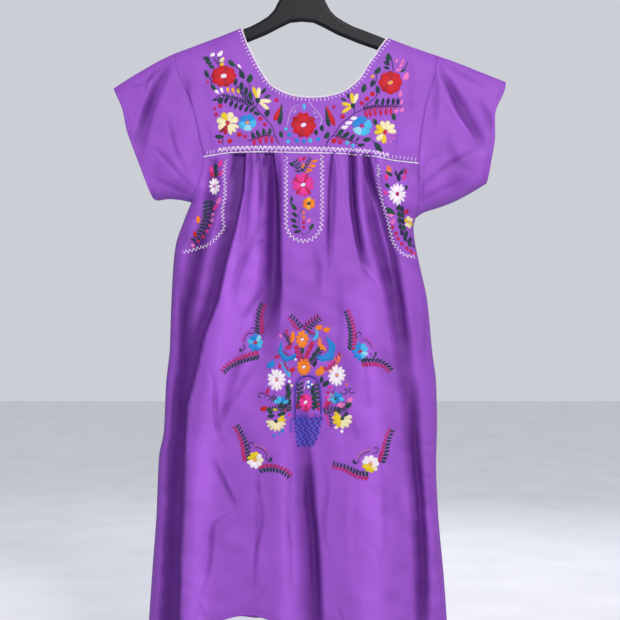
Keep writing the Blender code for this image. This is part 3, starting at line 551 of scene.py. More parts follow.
def makeShell(name, outer, folds, spread, side, material, ring=False):
    # A thin closed wall behind a grid of outer points. A ring joins its last column to its first.
    rows, columns = outer.shape[:2]
    if ring:
        padded = np.concatenate([outer[:, -1:], outer, outer[:, :1]], axis=1)
        aside = (padded[:, 2:] - padded[:, :-2]) / 2
    else:
        aside = np.gradient(outer, axis=1)
    normals = np.cross(aside, np.gradient(outer, axis=0))
    normals /= np.linalg.norm(normals, axis=-1, keepdims=True) + 1e-12
    if np.mean(normals[..., 1][folds.shape[0] // 2]) * side < 0 and not ring:
        normals = -normals
    if ring:
        centre = outer.mean(axis=1, keepdims=True)
        if np.sum((outer - centre) * normals) < 0:
            normals = -normals
    inner = outer - normals * shell["wall"]
    points = np.concatenate([outer.reshape(-1, 3), inner.reshape(-1, 3)])
    number = np.arange(rows * columns).reshape(rows, columns)
    last = np.roll(number, -1, axis=1) if ring else number[:, 1:]
    first = number if ring else number[:, :-1]
    behind = rows * columns
    quads = np.stack([first[:-1], last[:-1], last[1:], first[1:]], -1).reshape(-1, 4)
    faces = [quads, quads[:, ::-1] + behind]
    for edge, flip in ((0, False), (-1, True)):
        a, b = first[edge], last[edge]
        rim = np.stack([b, a, a + behind, b + behind], -1)
        faces.append(rim[:, ::-1] if flip else rim)
    if not ring:
        for column, flip in ((0, False), (-1, True)):
            a, b = number[:-1, column], number[1:, column]
            rim = np.stack([a, b, b + behind, a + behind], -1)
            faces.append(rim[:, ::-1] if flip else rim)
    flat = np.stack([spread[..., 0], spread[..., 1], np.zeros(spread.shape[:2])], -1)
    cloth = np.concatenate([flat, flat]) * mm
    # Painted shade: fold depth for each point, which darkens the cloth's colour in hollows and lightens it on
    # ridges.
    valley = np.tile(np.clip(-folds.ravel() / 11, -1, 1), 2)
    made = makeMesh(name, points, np.concatenate(faces).tolist(), material,
                    (("cloth", "FLOAT_VECTOR", cloth.reshape(-1, 3)), ("valley", "FLOAT", valley)))
    tidy = bmesh.new()
    tidy.from_mesh(made.data)
    bmesh.ops.recalc_face_normals(tidy, faces=tidy.faces)
    tidy.to_mesh(made.data)
    tidy.free()
    return made


def linear(colour):
    parts = [int(colour[i:i + 2], 16) / 255 for i in (1, 3, 5)]
    return tuple(c / 12.92 if c < 0.04045 else ((c + 0.055) / 1.055) ** 2.4 for c in parts)


def newMaterial(name, **sockets):
    material = bpy.data.materials.new(name)
    material.use_nodes = True
    shader = material.node_tree.nodes["Principled BSDF"]
    for key, value in sockets.items():
        shader.inputs[key.replace("_", " ")].default_value = value
    return material, material.node_tree.nodes, material.node_tree.links, shader


def addNode(nodes, kind, inputs=(), **settings):
    made = nodes.new(kind)
    for key, value in settings.items():
        setattr(made, key, value)
    for key, value in inputs:
        made.inputs[key].default_value = value
    return made


def grainGroup():
    # Uneven tone and height, which each material places with its own size and strength.
    group = bpy.data.node_groups.new("uneven_grain", "ShaderNodeTree")
    for name, kind in (("Place", "Vector"), ("Size", "Float"), ("Detail", "Float"), ("Twist", "Float"),
                       ("Low", "Float"), ("High", "Float")):
        group.interface.new_socket(name, in_out="INPUT", socket_type="NodeSocket" + kind)
    for name in ("Tone", "Height"):
        group.interface.new_socket(name, in_out="OUTPUT", socket_type="NodeSocketFloat")
    nodes, links = group.nodes, group.links
    start, end = nodes.new("NodeGroupInput"), nodes.new("NodeGroupOutput")
    noise, tone = nodes.new("ShaderNodeTexNoise"), nodes.new("ShaderNodeMapRange")
    for name, socket in (
        ("Place", "Vector"), ("Size", "Scale"), ("Detail", "Detail"), ("Twist", "Distortion"),
    ):
        links.new(start.outputs[name], noise.inputs[socket])
    links.new(noise.outputs["Fac"], tone.inputs["Value"])
    links.new(start.outputs["Low"], tone.inputs["To Min"])
    links.new(start.outputs["High"], tone.inputs["To Max"])
    links.new(tone.outputs["Result"], end.inputs["Tone"])
    links.new(noise.outputs["Fac"], end.inputs["Height"])
    return group


grain = grainGroup()


def addGrain(nodes, links, where, size, detail, low=0.85, high=1.15, twist=0.0):
    made = addNode(nodes, "ShaderNodeGroup", node_tree=grain)
    for name, value in (("Size", size), ("Detail", detail), ("Twist", twist), ("Low", low), ("High", high)):
        made.inputs[name].default_value = value
    links.new(where, made.inputs["Place"])
    return made


# The cloth's colour runs by fold depth from the light purple on ridges to the dark one, which is painted
# shade.
cottonLook = {
    "light": "#A25AD6", "paintedShade": "#43026B", "sheenTint": "#E6CCFF", "roughness": 0.6, "sheen": 0.07,
    "weavePeriod": 0.00055, "weaveHeight": 0.00008, "valleyShadeStart": -0.45, "valleyShadeDepth": 0.9,
    # Stretch of the noise across and down the cloth, and its strength or height.
    "slubs": (((1400, 60, 1), 0.10), ((60, 1400, 1), 0.10), ((9, 9, 1), 0.16)),
    "wrinkles": (((46, 31, 1), 0.0013), ((150, 84, 1), 0.0005)),
}


def clothMaterial():
    paintedShade, light = (*linear(cottonLook["paintedShade"]), 1), (*linear(cottonLook["light"]), 1)
    material, nodes, links, shader = newMaterial(
        "purple_cotton_weave", Roughness=cottonLook["roughness"], Sheen_Weight=cottonLook["sheen"],
        Sheen_Roughness=0.45, Specular_IOR_Level=0.3,
    )
    shader.inputs["Sheen Tint"].default_value = (*linear(cottonLook["sheenTint"]), 1)
    where = addNode(nodes, "ShaderNodeAttribute", attribute_name="cloth")
    valley = addNode(nodes, "ShaderNodeAttribute", attribute_name="valley")
    # Painted shade darkens the colour in fold hollows and leaves it lighter on ridges; slubs in the yarn make
    # faint streaks both ways.
    depth = addNode(nodes, "ShaderNodeMapRange",
                    (("From Min", cottonLook["valleyShadeStart"]), ("To Max", cottonLook["valleyShadeDepth"])))
    links.new(valley.outputs["Fac"], depth.inputs["Value"])
    tone = addNode(nodes, "ShaderNodeMix", ((6, light), (7, paintedShade)), data_type="RGBA")  # the colours A and B
    links.new(depth.outputs["Result"], tone.inputs["Factor"])
    colour = tone.outputs[2]
    for stretch, strength in cottonLook["slubs"]:
        scaled = addNode(nodes, "ShaderNodeVectorMath", ((1, stretch),), operation="MULTIPLY")
        links.new(where.outputs["Vector"], scaled.inputs[0])
        slubs = addGrain(nodes, links, scaled.outputs["Vector"], 1.0, 2.0, 1 - strength, 1 + strength)
        shade = addNode(nodes, "ShaderNodeVectorMath", operation="SCALE")
        links.new(colour, shade.inputs[0])
        links.new(slubs.outputs["Tone"], shade.inputs["Scale"])
        colour = shade.outputs["Vector"]
    links.new(colour, shader.inputs["Base Color"])
    # Soft wrinkles, then the crossing threads of the weave.
    wrinkles = None
    for stretch, distance in cottonLook["wrinkles"]:
        scaled = addNode(nodes, "ShaderNodeVectorMath", ((1, stretch),), operation="MULTIPLY")
        links.new(where.outputs["Vector"], scaled.inputs[0])
        crumpling = addGrain(nodes, links, scaled.outputs["Vector"], 1.0, 3.0, twist=0.8)
        bump = addNode(nodes, "ShaderNodeBump", (("Strength", 0.8), ("Distance", distance)))
        links.new(crumpling.outputs["Height"], bump.inputs["Height"])
        if wrinkles:
            links.new(wrinkles, bump.inputs["Normal"])
        wrinkles = bump.outputs["Normal"]
    parts = addNode(nodes, "ShaderNodeSeparateXYZ")
    links.new(where.outputs["Vector"], parts.inputs[0])
    waves = []
    for axis in ("X", "Y"):
        radiansPerMetre = 2 * math.pi / cottonLook["weavePeriod"]
        turned = addNode(nodes, "ShaderNodeMath", ((1, radiansPerMetre),), operation="MULTIPLY")
        links.new(parts.outputs[axis], turned.inputs[0])
        wave = addNode(nodes, "ShaderNodeMath", operation="SINE")
        links.new(turned.outputs[0], wave.inputs[0])
        waves.append(wave.outputs[0])
    weave = addNode(nodes, "ShaderNodeMath", operation="MULTIPLY")
    links.new(waves[0], weave.inputs[0])
    links.new(waves[1], weave.inputs[1])
    bump = addNode(nodes, "ShaderNodeBump", (("Strength", 0.35), ("Distance", cottonLook["weaveHeight"])))
    links.new(weave.outputs[0], bump.inputs["Height"])
    links.new(wrinkles, bump.inputs["Normal"])
    links.new(bump.outputs["Normal"], shader.inputs["Normal"])
    return material


def threadMaterial():
    material, nodes, links, shader = newMaterial(
        "embroidery_thread", Roughness=0.5, Sheen_Weight=0.08, Specular_IOR_Level=0.4,
    )
    tint = addNode(nodes, "ShaderNodeAttribute", attribute_name="tint")
    local = addNode(nodes, "ShaderNodeAttribute", attribute_name="local")
    reach = addNode(nodes, "ShaderNodeAttribute", attribute_name="reach")
    parts = addNode(nodes, "ShaderNodeSeparateXYZ")
    links.new(local.outputs["Vector"], parts.inputs[0])
    run = addNode(nodes, "ShaderNodeMath", operation="MULTIPLY")
    links.new(parts.outputs["X"], run.inputs[0])
    links.new(reach.outputs["Fac"], run.inputs[1])
    turned = addNode(nodes, "ShaderNodeMath", ((1, 2 * math.pi / thread["twist"]),), operation="MULTIPLY_ADD")
    links.new(run.outputs[0], turned.inputs[0])
    slant = addNode(nodes, "ShaderNodeMath", ((1, thread["plySlant"]),), operation="MULTIPLY")
    links.new(parts.outputs["Y"], slant.inputs[0])
    links.new(slant.outputs[0], turned.inputs[2])
    wave = addNode(nodes, "ShaderNodeMath", operation="SINE")
    links.new(turned.outputs[0], wave.inputs[0])
    # Painted shade: the thread is darker in the grooves of its twist and lighter on the crests, in step with
    # the bump.
    shade = addNode(nodes, "ShaderNodeMapRange", (("From Min", -1.0), ("To Min", 0.86), ("To Max", 1.04)))
    links.new(wave.outputs[0], shade.inputs["Value"])
    scaled = addNode(nodes, "ShaderNodeVectorMath", operation="SCALE")
    links.new(tint.outputs["Color"], scaled.inputs[0])
    links.new(shade.outputs["Result"], scaled.inputs["Scale"])
    links.new(scaled.outputs["Vector"], shader.inputs["Base Color"])
    bump = addNode(nodes, "ShaderNodeBump", (("Strength", 0.5), ("Distance", 0.0001)))
    links.new(wave.outputs[0], bump.inputs["Height"])
    links.new(bump.outputs["Normal"], shader.inputs["Normal"])
    return material


cord = {
    "shade": "#D8CEE4", "light": "#FBF8FF", "points": 1300, "turnLength": 5.2, "strandOff": 0.72,
    "strandRadius": 0.82, "strandSides": 6, "outside": 1.7, "sunk": 0.2,
}


def edgingMaterial():
    material, nodes, links, shader = newMaterial("crochet_cotton", Roughness=0.8, Sheen_Weight=0.2)
    spot = addNode(nodes, "ShaderNodeTexCoord")
    fibres = addGrain(nodes, links, spot.outputs["Object"], 900.0, 3.0)
    ramp = addNode(nodes, "ShaderNodeValToRGB")
    ramp.color_ramp.elements[0].color = (*linear(cord["shade"]), 1)
    ramp.color_ramp.elements[1].color = (*linear(cord["light"]), 1)
    links.new(fibres.outputs["Height"], ramp.inputs["Fac"])
    links.new(ramp.outputs["Color"], shader.inputs["Base Color"])
    bump = addNode(nodes, "ShaderNodeBump", (("Strength", 0.5), ("Distance", 0.0002)))
    links.new(fibres.outputs["Height"], bump.inputs["Height"])
    links.new(bump.outputs["Normal"], shader.inputs["Normal"])
    return material


hangerLook = {"plastic": "#0F121A", "plasticRoughness": 0.46, "wire": "#C8C9CC", "wireRoughness": 0.2}


def hardMaterial(name, colour, metallic, roughness, grainSize, bumpDistance):
    material, nodes, links, shader = newMaterial(name, Metallic=metallic, Specular_IOR_Level=0.22)
    spot = addNode(nodes, "ShaderNodeTexCoord")
    uneven = addGrain(nodes, links, spot.outputs["Object"], grainSize, 4.0)
    scaled = addNode(nodes, "ShaderNodeVectorMath", operation="SCALE")
    scaled.inputs[0].default_value = linear(colour)
    links.new(uneven.outputs["Tone"], scaled.inputs["Scale"])
    links.new(scaled.outputs["Vector"], shader.inputs["Base Color"])
    rough = addNode(nodes, "ShaderNodeMapRange", (("To Min", roughness - 0.08), ("To Max", roughness + 0.1)))
    links.new(uneven.outputs["Height"], rough.inputs["Value"])
    links.new(rough.outputs["Result"], shader.inputs["Roughness"])
    bump = addNode(nodes, "ShaderNodeBump", (("Strength", 0.4), ("Distance", bumpDistance)))
    links.new(uneven.outputs["Height"], bump.inputs["Height"])
    links.new(bump.outputs["Normal"], shader.inputs["Normal"])
    return material


def onMiddlePlane(x, y):
    return np.array([(x - photo["middle"]) * photo["pixel"], (y + photo["hookAbove"]) * photo["pixel"]])


def at(x, y):
    # A place on the front from a place in the photo, whose pixels are counted from its top left corner. The
    # cloth stands in front of the middle plane, so it looks larger by its share of the camera's distance.
    spot, aim = onMiddlePlane(x, y), onMiddlePlane(photo["side"] / 2, photo["side"] / 2)
    nearer = smooth(spot[1], [g.drop for g in girths], [g.front for g in girths]) / photo["distance"]
    return aim + (spot - aim) * (1 - nearer)


def heading(degrees):
    # 0 points right and 90 points up, as seen from the front.
    return np.array([math.cos(math.radians(degrees)), -math.sin(math.radians(degrees))])


def beside(direction):
    return np.array([-direction[1], direction[0]])


thread = {"width": 0.85, "lift": 0.3, "height": 0.6, "spacing": 0.72, "shadeSpread": 0.08,
          "twist": 0.9, "plySlant": 6.0}
fullness = {"leaf": 1.34, "leafWidth": 1.62, "bud": 1.26}
petalShape = {"round": 0.32, "uneven": 0.02, "spread": 0.86, "heelRise": 0.2, "swell": 0.45}

# Sewing threads, as they look in daylight.
tints = {
    "red": "#CB0420", "wine": "#8C0C3A", "crimson": "#C4125A", "teal": "#0F3840", "green": "#12493A",
    "navy": "#191D4C", "yellow": "#E8CC1E", "gold": "#F0AE3C", "cream": "#F0E8BC", "blue": "#1888DC",
    "sky": "#42BDEE", "pale": "#94D8F0", "pink": "#E6309E", "blush": "#EE7CCB", "orange": "#F28812",
    "salmon": "#EA7C56", "ruby": "#B40622", "white": "#F2ECF7", "peri": "#5D68E6", "violet": "#3D40C0",
    "indigo": "#2B0F86", "lilac": "#64229A",
}


class Sewing:
    # Collects the stitches of one piece. Places are in millimetres on the cloth, sizes too.
    def __init__(self, side=-1):
        self.side = side
        self.rows = []

    def stitch(self, a, b, tint, width=thread["width"], lift=thread["lift"]):
        self.rows.append((a[0], a[1], b[0], b[1], tint, width, lift))

    def petal(self, base, tip, half, tint, heel=0.3):
        run = tip - base
        length = np.linalg.norm(run)
        way = run / length
        across = beside(way)
        count = max(3, round(2 * half / thread["spacing"]))
        for q in np.linspace(-1, 1, count):
            curve = 1 - math.sqrt(1 - 0.95 * q * q)
            uneven = draws.uniform(-petalShape["uneven"], petalShape["uneven"])
            reach = length * (1 - petalShape["round"] * curve + uneven)
            outer = base + way * reach + across * half * q * petalShape["spread"]
            inner = base + across * half * q * heel + way * abs(q) * half * petalShape["heelRise"]
            self.stitch(inner, outer, tint, lift=thread["lift"] + petalShape["swell"] * (1 - q * q))

    def leaf(self, base, tip, half, tint):
        # Slanting satin stitches across the leaf, from its base to its pointed tip.
        run = tip - base
        length = np.linalg.norm(run)
        way = run / length
        across = beside(way)
        count = max(4, round(length / thread["spacing"]))
        for t in np.linspace(0.06, 0.97, count):
            w = half * math.sin(math.pi * min(1.0, t ** 0.8)) ** 0.7
            w = max(w, 0.35)
            spot = base + run * t
            slant = way * min(w * 0.7, length * 0.12)
            self.stitch(spot - across * w - slant, spot + across * w + slant, tint, lift=thread["lift"] + 0.2)

    def leafAt(self, x, y, angle, length, half, tint):
        middle, way = at(x, y), heading(angle)
        reach = length * fullness["leaf"] / 2
        self.leaf(middle - way * reach, middle + way * reach, half * fullness["leafWidth"], tint)

    def crescent(self, x, y, radius, start, end, tint, thick=0.66, flat=1.15):
        # Satin stitches that point at the middle, longest in the middle of the arc.
        centre = at(x, y)
        count = round(abs(math.radians(end - start)) * radius * 0.8 / thread["spacing"])
        for t in np.linspace(0.02, 0.98, count):
            way = heading(start + (end - start) * t) * [1, flat]
            depth = thick * math.sin(math.pi * t) ** 0.4
            outer = radius * (0.93 + 0.07 * math.cos(7 * math.pi * t))
            self.stitch(centre + way * radius * (1 - depth), centre + way * outer, tint, lift=0.6)

    def bead(self, centre, radius, tint, angle=30.0, tall=1.0):
        radius *= fullness["bud"]
        way = heading(angle)
        across = beside(way)
        count = max(3, round(2 * radius / thread["spacing"]))
        for q in np.linspace(-0.85, 0.85, count):
            reach = radius * tall * math.sqrt(1 - q * q)
            spot = centre + across * q * radius
            high = thread["lift"] + 0.25 * (1 - q * q)
            self.stitch(spot - way * reach, spot + way * reach, tint, lift=high)

    def stem(self, points, tint, width=1.2, step=3.0):
        line = spacedAlong(points, step)
        for a, b in zip(line[:-1], line[1:]):
            run = b - a
            aside = beside(run / (np.linalg.norm(run) + 1e-9)) * width * 0.22
            self.stitch(a - run * 0.15 - aside, b + run * 0.15 + aside, tint, width)

    def stemPx(self, points, tint, width=1.2, step=3.0):
        self.stem([at(*p) for p in points], tint, width, step)

    def flower(self, x, y, radius, petals, petalTints, heartTint, heart=3.0,
               hollow=0.18, flat=1.0, turn=0.0, heartAngle=20.0, full=0.86):
        centre = at(x, y)
        half = math.pi * radius / petals * full
        for k in range(petals):
            way = heading(turn + 360 * k / petals + draws.uniform(-4, 4)) * [1, flat]
            tint = petalTints[k % len(petalTints)]
            self.petal(centre + way * radius * hollow, centre + way * radius * draws.uniform(0.95, 1.04),
                       half, tint, 0.34)
        self.bead(centre, heart * 0.5, heartTint, heartAngle, 1.9)

    def fan(self, x, y, radius, start, end, petals, petalTints, heartTint="teal"):
        centre = at(x, y)
        spread = abs(end - start) / (petals - 1)
        half = math.radians(spread) * radius * 0.42
        for k, angle in enumerate(np.linspace(start, end, petals)):
            self.petal(centre + heading(angle) * radius * 0.15, centre + heading(angle) * radius,
                       half, petalTints[k * len(petalTints) // petals], 0.25)
        self.bead(centre, 2.2, heartTint, 90, 1.2)

    def frond(self, points, leftTint, rightTint, length=8.8, half=2.5, gap=5.7, stemTint="teal"):
        # A stem with slanting leaves on both sides. Left and right are as seen by someone going along it.
        self.stemPx(points, stemTint, 0.9)
        line = spacedAlong([at(*p) for p in points], gap)
        for i in range(len(line) - 1):
            run = line[i + 1] - line[i]
            way = run / (np.linalg.norm(run) + 1e-9)
            shrink = 1 - 0.3 * i / len(line)
            for sign, tint in ((1, rightTint), (-1, leftTint)):
                if tint is None:
                    continue
                out = way * 0.52 + beside(way) * sign * 0.85
                base = line[i] + out * 0.7
                self.leaf(base, base + out * length * shrink * draws.uniform(0.92, 1.06), half * shrink, tint)

    def comb(self, x, y, radius, start, end, tint, count=6):
        # A fine arc beside a flower, with dark feet and coloured tips.
        centre = at(x, y)
        arc = [centre + heading(angle) * radius for angle in np.linspace(start, end, 5)]
        self.stem(arc, "navy", 0.9, 2.4)
        for angle in np.linspace(start, end, count):
            way, foot = heading(angle), centre + heading(angle) * radius
            self.stitch(foot - way * 0.4, foot + way * 1.8, "navy", 1.1)
            self.stitch(foot + way * 1.6, foot + way * 5.0, tint, 1.7)

    def zigzag(self, points, half, period, tint="white", width=0.9):
        line = spacedAlong(points, period / 2)
        runs = np.gradient(line, axis=0)
        sides = np.stack([-runs[:, 1], runs[:, 0]], -1)
        sides /= np.linalg.norm(sides, axis=1, keepdims=True)
        sway = line + sides * (half * (-1.0) ** np.arange(len(line)))[:, None]
        sway += draws.uniform(-0.25, 0.25, sway.shape)
        for a, b in zip(sway[:-1], sway[1:]):
            self.stitch(a, b + (b - a) * 0.06, tint, width)

    def running(self, points, length, gap, tint="lilac", width=0.8):
        line = spacedAlong(points, length + gap)
        for a, b in zip(line[:-1], line[1:]):
            self.stitch(a, a + (b - a) * length / (length + gap), tint, width, 0.05)

    def curl(self, x, y, radius, turn, tint, width=1.0, hand=1):
        # A thin spiral tendril that ends in its own middle.
        t = np.linspace(0, 1, 16)
        angle = np.radians(turn) + hand * t * 4.6
        size = radius * (1 - 0.72 * t)
        centre = at(x, y)
        line = centre + np.stack([np.cos(angle), -np.sin(angle)], -1) * size[:, None]
        self.stem(line, tint, width, 1.8)

    def make(self, name, material, tree, bar):
        rows = self.rows
        ends = np.array([row[:4] for row in rows], float)
        lifts = np.array([row[6] for row in rows], float)
        first, firstUp = place(ends[:, :2], self.side, lifts)
        second, secondUp = place(ends[:, 2:], self.side, lifts)
        along = second - first
        up = firstUp + secondUp
        up /= np.linalg.norm(up, axis=1, keepdims=True)
        reach = np.linalg.norm(along, axis=1)
        shades = draws.uniform(1 - thread["shadeSpread"], 1 + thread["shadeSpread"], len(rows))
        colours = np.array([(*linear(tints[row[4]]), 1.0) for row in rows])
        colours[:, :3] *= shades[:, None]
        points = makeMesh(name + "_places", (first + second) / 2, [], None, (
            ("along", "FLOAT_VECTOR", along * mm), ("up", "FLOAT_VECTOR", up),
            ("girth", "FLOAT", np.array([row[5] for row in rows]) * mm), ("reach", "FLOAT", reach),
            ("tint", "FLOAT_COLOR", colours)))
        return sewn(points, name, material, tree, bar, len(rows))


def barMesh():
    # One stitch, a unit long: a low half-round bar that dips into the cloth at both ends.
    stations = ((-0.5, 0.35, -0.9), (-0.4, 0.85, 0.0), (0.0, 1.0, 0.14), (0.4, 0.85, 0.0), (0.5, 0.35, -0.9))
    angles = np.radians([180, 120, 60, 0])
    points, faces = [], []
    for x, size, sink in stations:
        points += [(x, 0.5 * size * math.cos(a), size * math.sin(a) * 0.9 - 0.35 + sink) for a in angles]
    width = len(angles)
    for s in range(len(stations) - 1):
        for k in range(width - 1):
            a = s * width + k
            faces.append((a, a + width, a + width + 1, a + 1))
    made = makeMesh("stitch_bar", np.array(points) / mm, faces, None, (("local", "FLOAT_VECTOR", points),))
    made.hide_render = True
    made.hide_viewport = True
    return made


def stitchTree():
    # Puts a stretched copy of one stitch on every point, lying along its "along" with its top to "up".
    tree = bpy.data.node_groups.new("stitches", "GeometryNodeTree")
    tree.interface.new_socket("Geometry", in_out="INPUT", socket_type="NodeSocketGeometry")
    tree.interface.new_socket("Stitch", in_out="INPUT", socket_type="NodeSocketObject")
    tree.interface.new_socket("Height", in_out="INPUT", socket_type="NodeSocketFloat")
    tree.interface.new_socket("Material", in_out="INPUT", socket_type="NodeSocketMaterial")
    tree.interface.new_socket("Geometry", in_out="OUTPUT", socket_type="NodeSocketGeometry")
    nodes, links = tree.nodes, tree.links
    start, end = nodes.new("NodeGroupInput"), nodes.new("NodeGroupOutput")
    shape = nodes.new("GeometryNodeObjectInfo")
    links.new(start.outputs["Stitch"], shape.inputs["Object"])

    def named(key, kind):
        made = addNode(nodes, "GeometryNodeInputNamedAttribute", data_type=kind)
        made.inputs["Name"].default_value = key
        return made.outputs["Attribute"]

    along, up, girth = named("along", "FLOAT_VECTOR"), named("up", "FLOAT_VECTOR"), named("girth", "FLOAT")
    lay = addNode(nodes, "FunctionNodeAlignRotationToVector", axis="X", pivot_axis="AUTO")
    links.new(along, lay.inputs["Vector"])
    roll = addNode(nodes, "FunctionNodeAlignRotationToVector", axis="Z", pivot_axis="X")
    links.new(lay.outputs["Rotation"], roll.inputs["Rotation"])
    links.new(up, roll.inputs["Vector"])
    length = addNode(nodes, "ShaderNodeVectorMath", operation="LENGTH")
    links.new(along, length.inputs[0])
    height = addNode(nodes, "ShaderNodeMath", operation="MULTIPLY")
    links.new(girth, height.inputs[0])
    links.new(start.outputs["Height"], height.inputs[1])
    size = nodes.new("ShaderNodeCombineXYZ")
    links.new(length.outputs["Value"], size.inputs["X"])
    links.new(girth, size.inputs["Y"])
    links.new(height.outputs[0], size.inputs["Z"])
    copies = nodes.new("GeometryNodeInstanceOnPoints")
    links.new(start.outputs["Geometry"], copies.inputs["Points"])
    links.new(shape.outputs["Geometry"], copies.inputs["Instance"])
    links.new(roll.outputs["Rotation"], copies.inputs["Rotation"])
    links.new(size.outputs["Vector"], copies.inputs["Scale"])
    real = nodes.new("GeometryNodeRealizeInstances")
    links.new(copies.outputs["Instances"], real.inputs["Geometry"])
    finish = nodes.new("GeometryNodeSetMaterial")
    links.new(real.outputs["Geometry"], finish.inputs["Geometry"])
    links.new(start.outputs["Material"], finish.inputs["Material"])
    links.new(finish.outputs["Geometry"], end.inputs["Geometry"])
    return tree


def sewn(points, name, material, tree, bar, count):
    sockets = {item.name: item.identifier for item in tree.interface.items_tree if item.in_out == "INPUT"}
    grow = points.modifiers.new("stitches", "NODES")
    grow.node_group = tree
    grow[sockets["Stitch"]] = bar
    grow[sockets["Height"]] = thread["height"] / thread["width"]
    grow[sockets["Material"]] = material
    bpy.context.view_layer.update()
    mesh = bpy.data.meshes.new_from_object(points.evaluated_get(bpy.context.evaluated_depsgraph_get()))
    mesh.shade_smooth()
    made = bpy.data.objects.new(name, mesh)
    mesh.name = name
    bpy.context.scene.collection.objects.link(made)
    bpy.data.objects.remove(points)
    print("sewed", name, count, "stitches,", len(mesh.polygons) * 2, "triangles")
    return made


def sewYoke():
    s = Sewing()
    # Red poppies: two beside the neck and one in the middle.
    s.flower(223.7, 76.0, 21.4, 10, ["red", "red", "ruby"], "white", 5.4, flat=0.9, heartAngle=15, full=1.05)
    s.flower(390.4, 82.6, 21, 8, ["red", "red", "ruby"], "gold", 4.6, flat=0.95, full=1.05)
    s.flower(303.5, 125.0, 21.6, 10, ["red", "ruby", "red"], "white", 4.6, heartAngle=25, full=1.05)
    # Blue pansies.
    for x, y, radius, turn, petalTints, heart in (
        (247.4, 122.6, 15, 60, ["blue", "blue", "sky", "pale", "sky"], "gold"),
        (361.8, 126.0, 17, 85, ["blue", "blue", "pale", "sky", "sky"], "crimson"),
    ):
        s.flower(x, y, radius, 5, petalTints, heart, 3.4, turn=turn, full=0.95)
    # Cream and yellow blooms at the yoke's ends.
    s.fan(227.6, 122.6, 19, 215, 20, 5, ["cream", "cream", "yellow", "cream", "cream"], "red")
    s.fan(227.4, 123.2, 21, -20, -72, 3, ["cream", "cream", "cream"], "red")
    s.fan(227.6, 123.6, 20, -104, -130, 2, ["ruby", "wine"], "red")
    s.fan(385.4, 131.5, 19, 185, 0, 6, ["yellow", "yellow", "cream", "cream", "cream", "cream"], "red")
    s.fan(384.6, 132.5, 19, -95, -135, 2, ["yellow", "cream"], "red")
    for angle, length in ((-5, 15), (-35, 17), (-62, 17), (-88, 16)):
        tip = at(386, 133) + heading(angle) * length
        s.stem([at(386, 133), at(386, 133) + heading(angle + 18) * length * 0.6, tip], "blush", 0.7, 2.2)
        s.bead(tip, 1.3, "blush")
    # Lilies, whose petals fan out of a green calyx.
    for calyx, petals in (
        ((257.8, 100.3), ((253.4, 87.6, "yellow"), (259.2, 88.0, "cream"),
                          (270.6, 101.4, "cream"), (268.3, 109.2, "cream"))),
        ((353.0, 105.6), ((351.6, 93.4, "yellow"), (357.4, 94.0, "cream"),
                          (342.2, 103.6, "yellow"), (342.6, 112.4, "yellow"))),
    ):
        for x, y, tint in petals:
            tip = at(x, y)
            base = at(*calyx)
            s.petal(base + (tip - base) * 0.16, base + (tip - base) * 1.06, 3.9, tint, 0.45)
        s.bead(at(*calyx), 3.4, "teal", 90, 1.1)
    # Split leaves, half red and half green.
    for base, tip, tint, half in (
        ((274.4, 121.0), (280.6, 106.6), "red", 5.6), ((279.4, 125.0), (281.8, 103.6), "teal", 5.4),
        ((334.6, 126.0), (326.2, 105.6), "red", 5.4), ((329.0, 127.4), (325.8, 107.0), "teal", 4.8),
    ):
        s.petal(at(*tip), at(*base), half, tint, 0.12)
    # Stems.
    for points in (
        ((216, 97.8), (222.2, 95.1), (230.6, 97), (238.3, 99.3), (246, 102.4), (253.6, 105.4)),
        ((253.6, 105.4), (261.2, 113.9), (267.3, 120.7), (272.7, 127.6), (275, 136), (279.6, 144.5)),
        ((234, 84), (242.8, 94), (249, 100.9), (253.6, 105.4)),
        ((249.7, 84), (250, 92), (249, 100.9)),
        ((257.8, 101), (256.5, 105), (255.5, 108)),
        ((208.4, 75.6), (211.5, 81), (212.2, 87), (215.3, 89.4)),
        ((217.2, 63.4), (213.5, 57)), ((217.8, 64), (219, 56)), ((218.5, 65), (221, 61)),
        ((235, 66), (241, 71), (243, 76)),
        ((248.2, 141), (258.2, 137.6), (265.8, 135.7), (273.5, 136)),
        ((223, 137), (222.8, 143.6)),
        ((326.1, 146.2), (328.2, 140.4), (333.1, 135.4), (341.4, 123.8), (348.9, 118), (354.7, 113)),
        ((354.7, 113), (361.3, 110.5), (369.6, 107.2), (377.9, 106.8), (390.4, 106.8), (401.1, 106.4)),
        ((363, 107.6), (369.6, 102.2), (374.6, 98), (377.1, 94.8), (376, 86)),
        ((354, 107), (354.7, 113)),
        ((333.1, 135.4), (341.4, 137.9), (351.4, 141.2), (361.3, 145.3)),
        ((391.2, 57), (393.3, 70.7)), ((403, 72), (406, 66), (408, 62)), ((372, 140), (376, 146)),
        ((377.6, 69), (376.4, 76), (375.5, 84)),
    ):
        s.stemPx(points, "navy", 1.5)
    for points, leftTint, rightTint in (
        (((251, 104.6), (246, 102.6), (238.3, 99.6), (230.6, 97.4), (222.2, 95.6)), "navy", "teal"),
        (((252.6, 104.6), (248, 99.6), (242, 92.6), (236, 86.4)), "teal", "teal"),
        (((269.6, 134.6), (262, 136.2), (254, 138.8)), "crimson", "teal"),
        (((364, 109.8), (374, 107.2), (386, 106.8), (398, 106.6)), "navy", "crimson"),
        (((336, 136.2), (344, 138.8), (353, 142)), "teal", "crimson"),
    ):
        s.frond(points, leftTint, rightTint, 5.4, 1.5, 4.6, "navy")
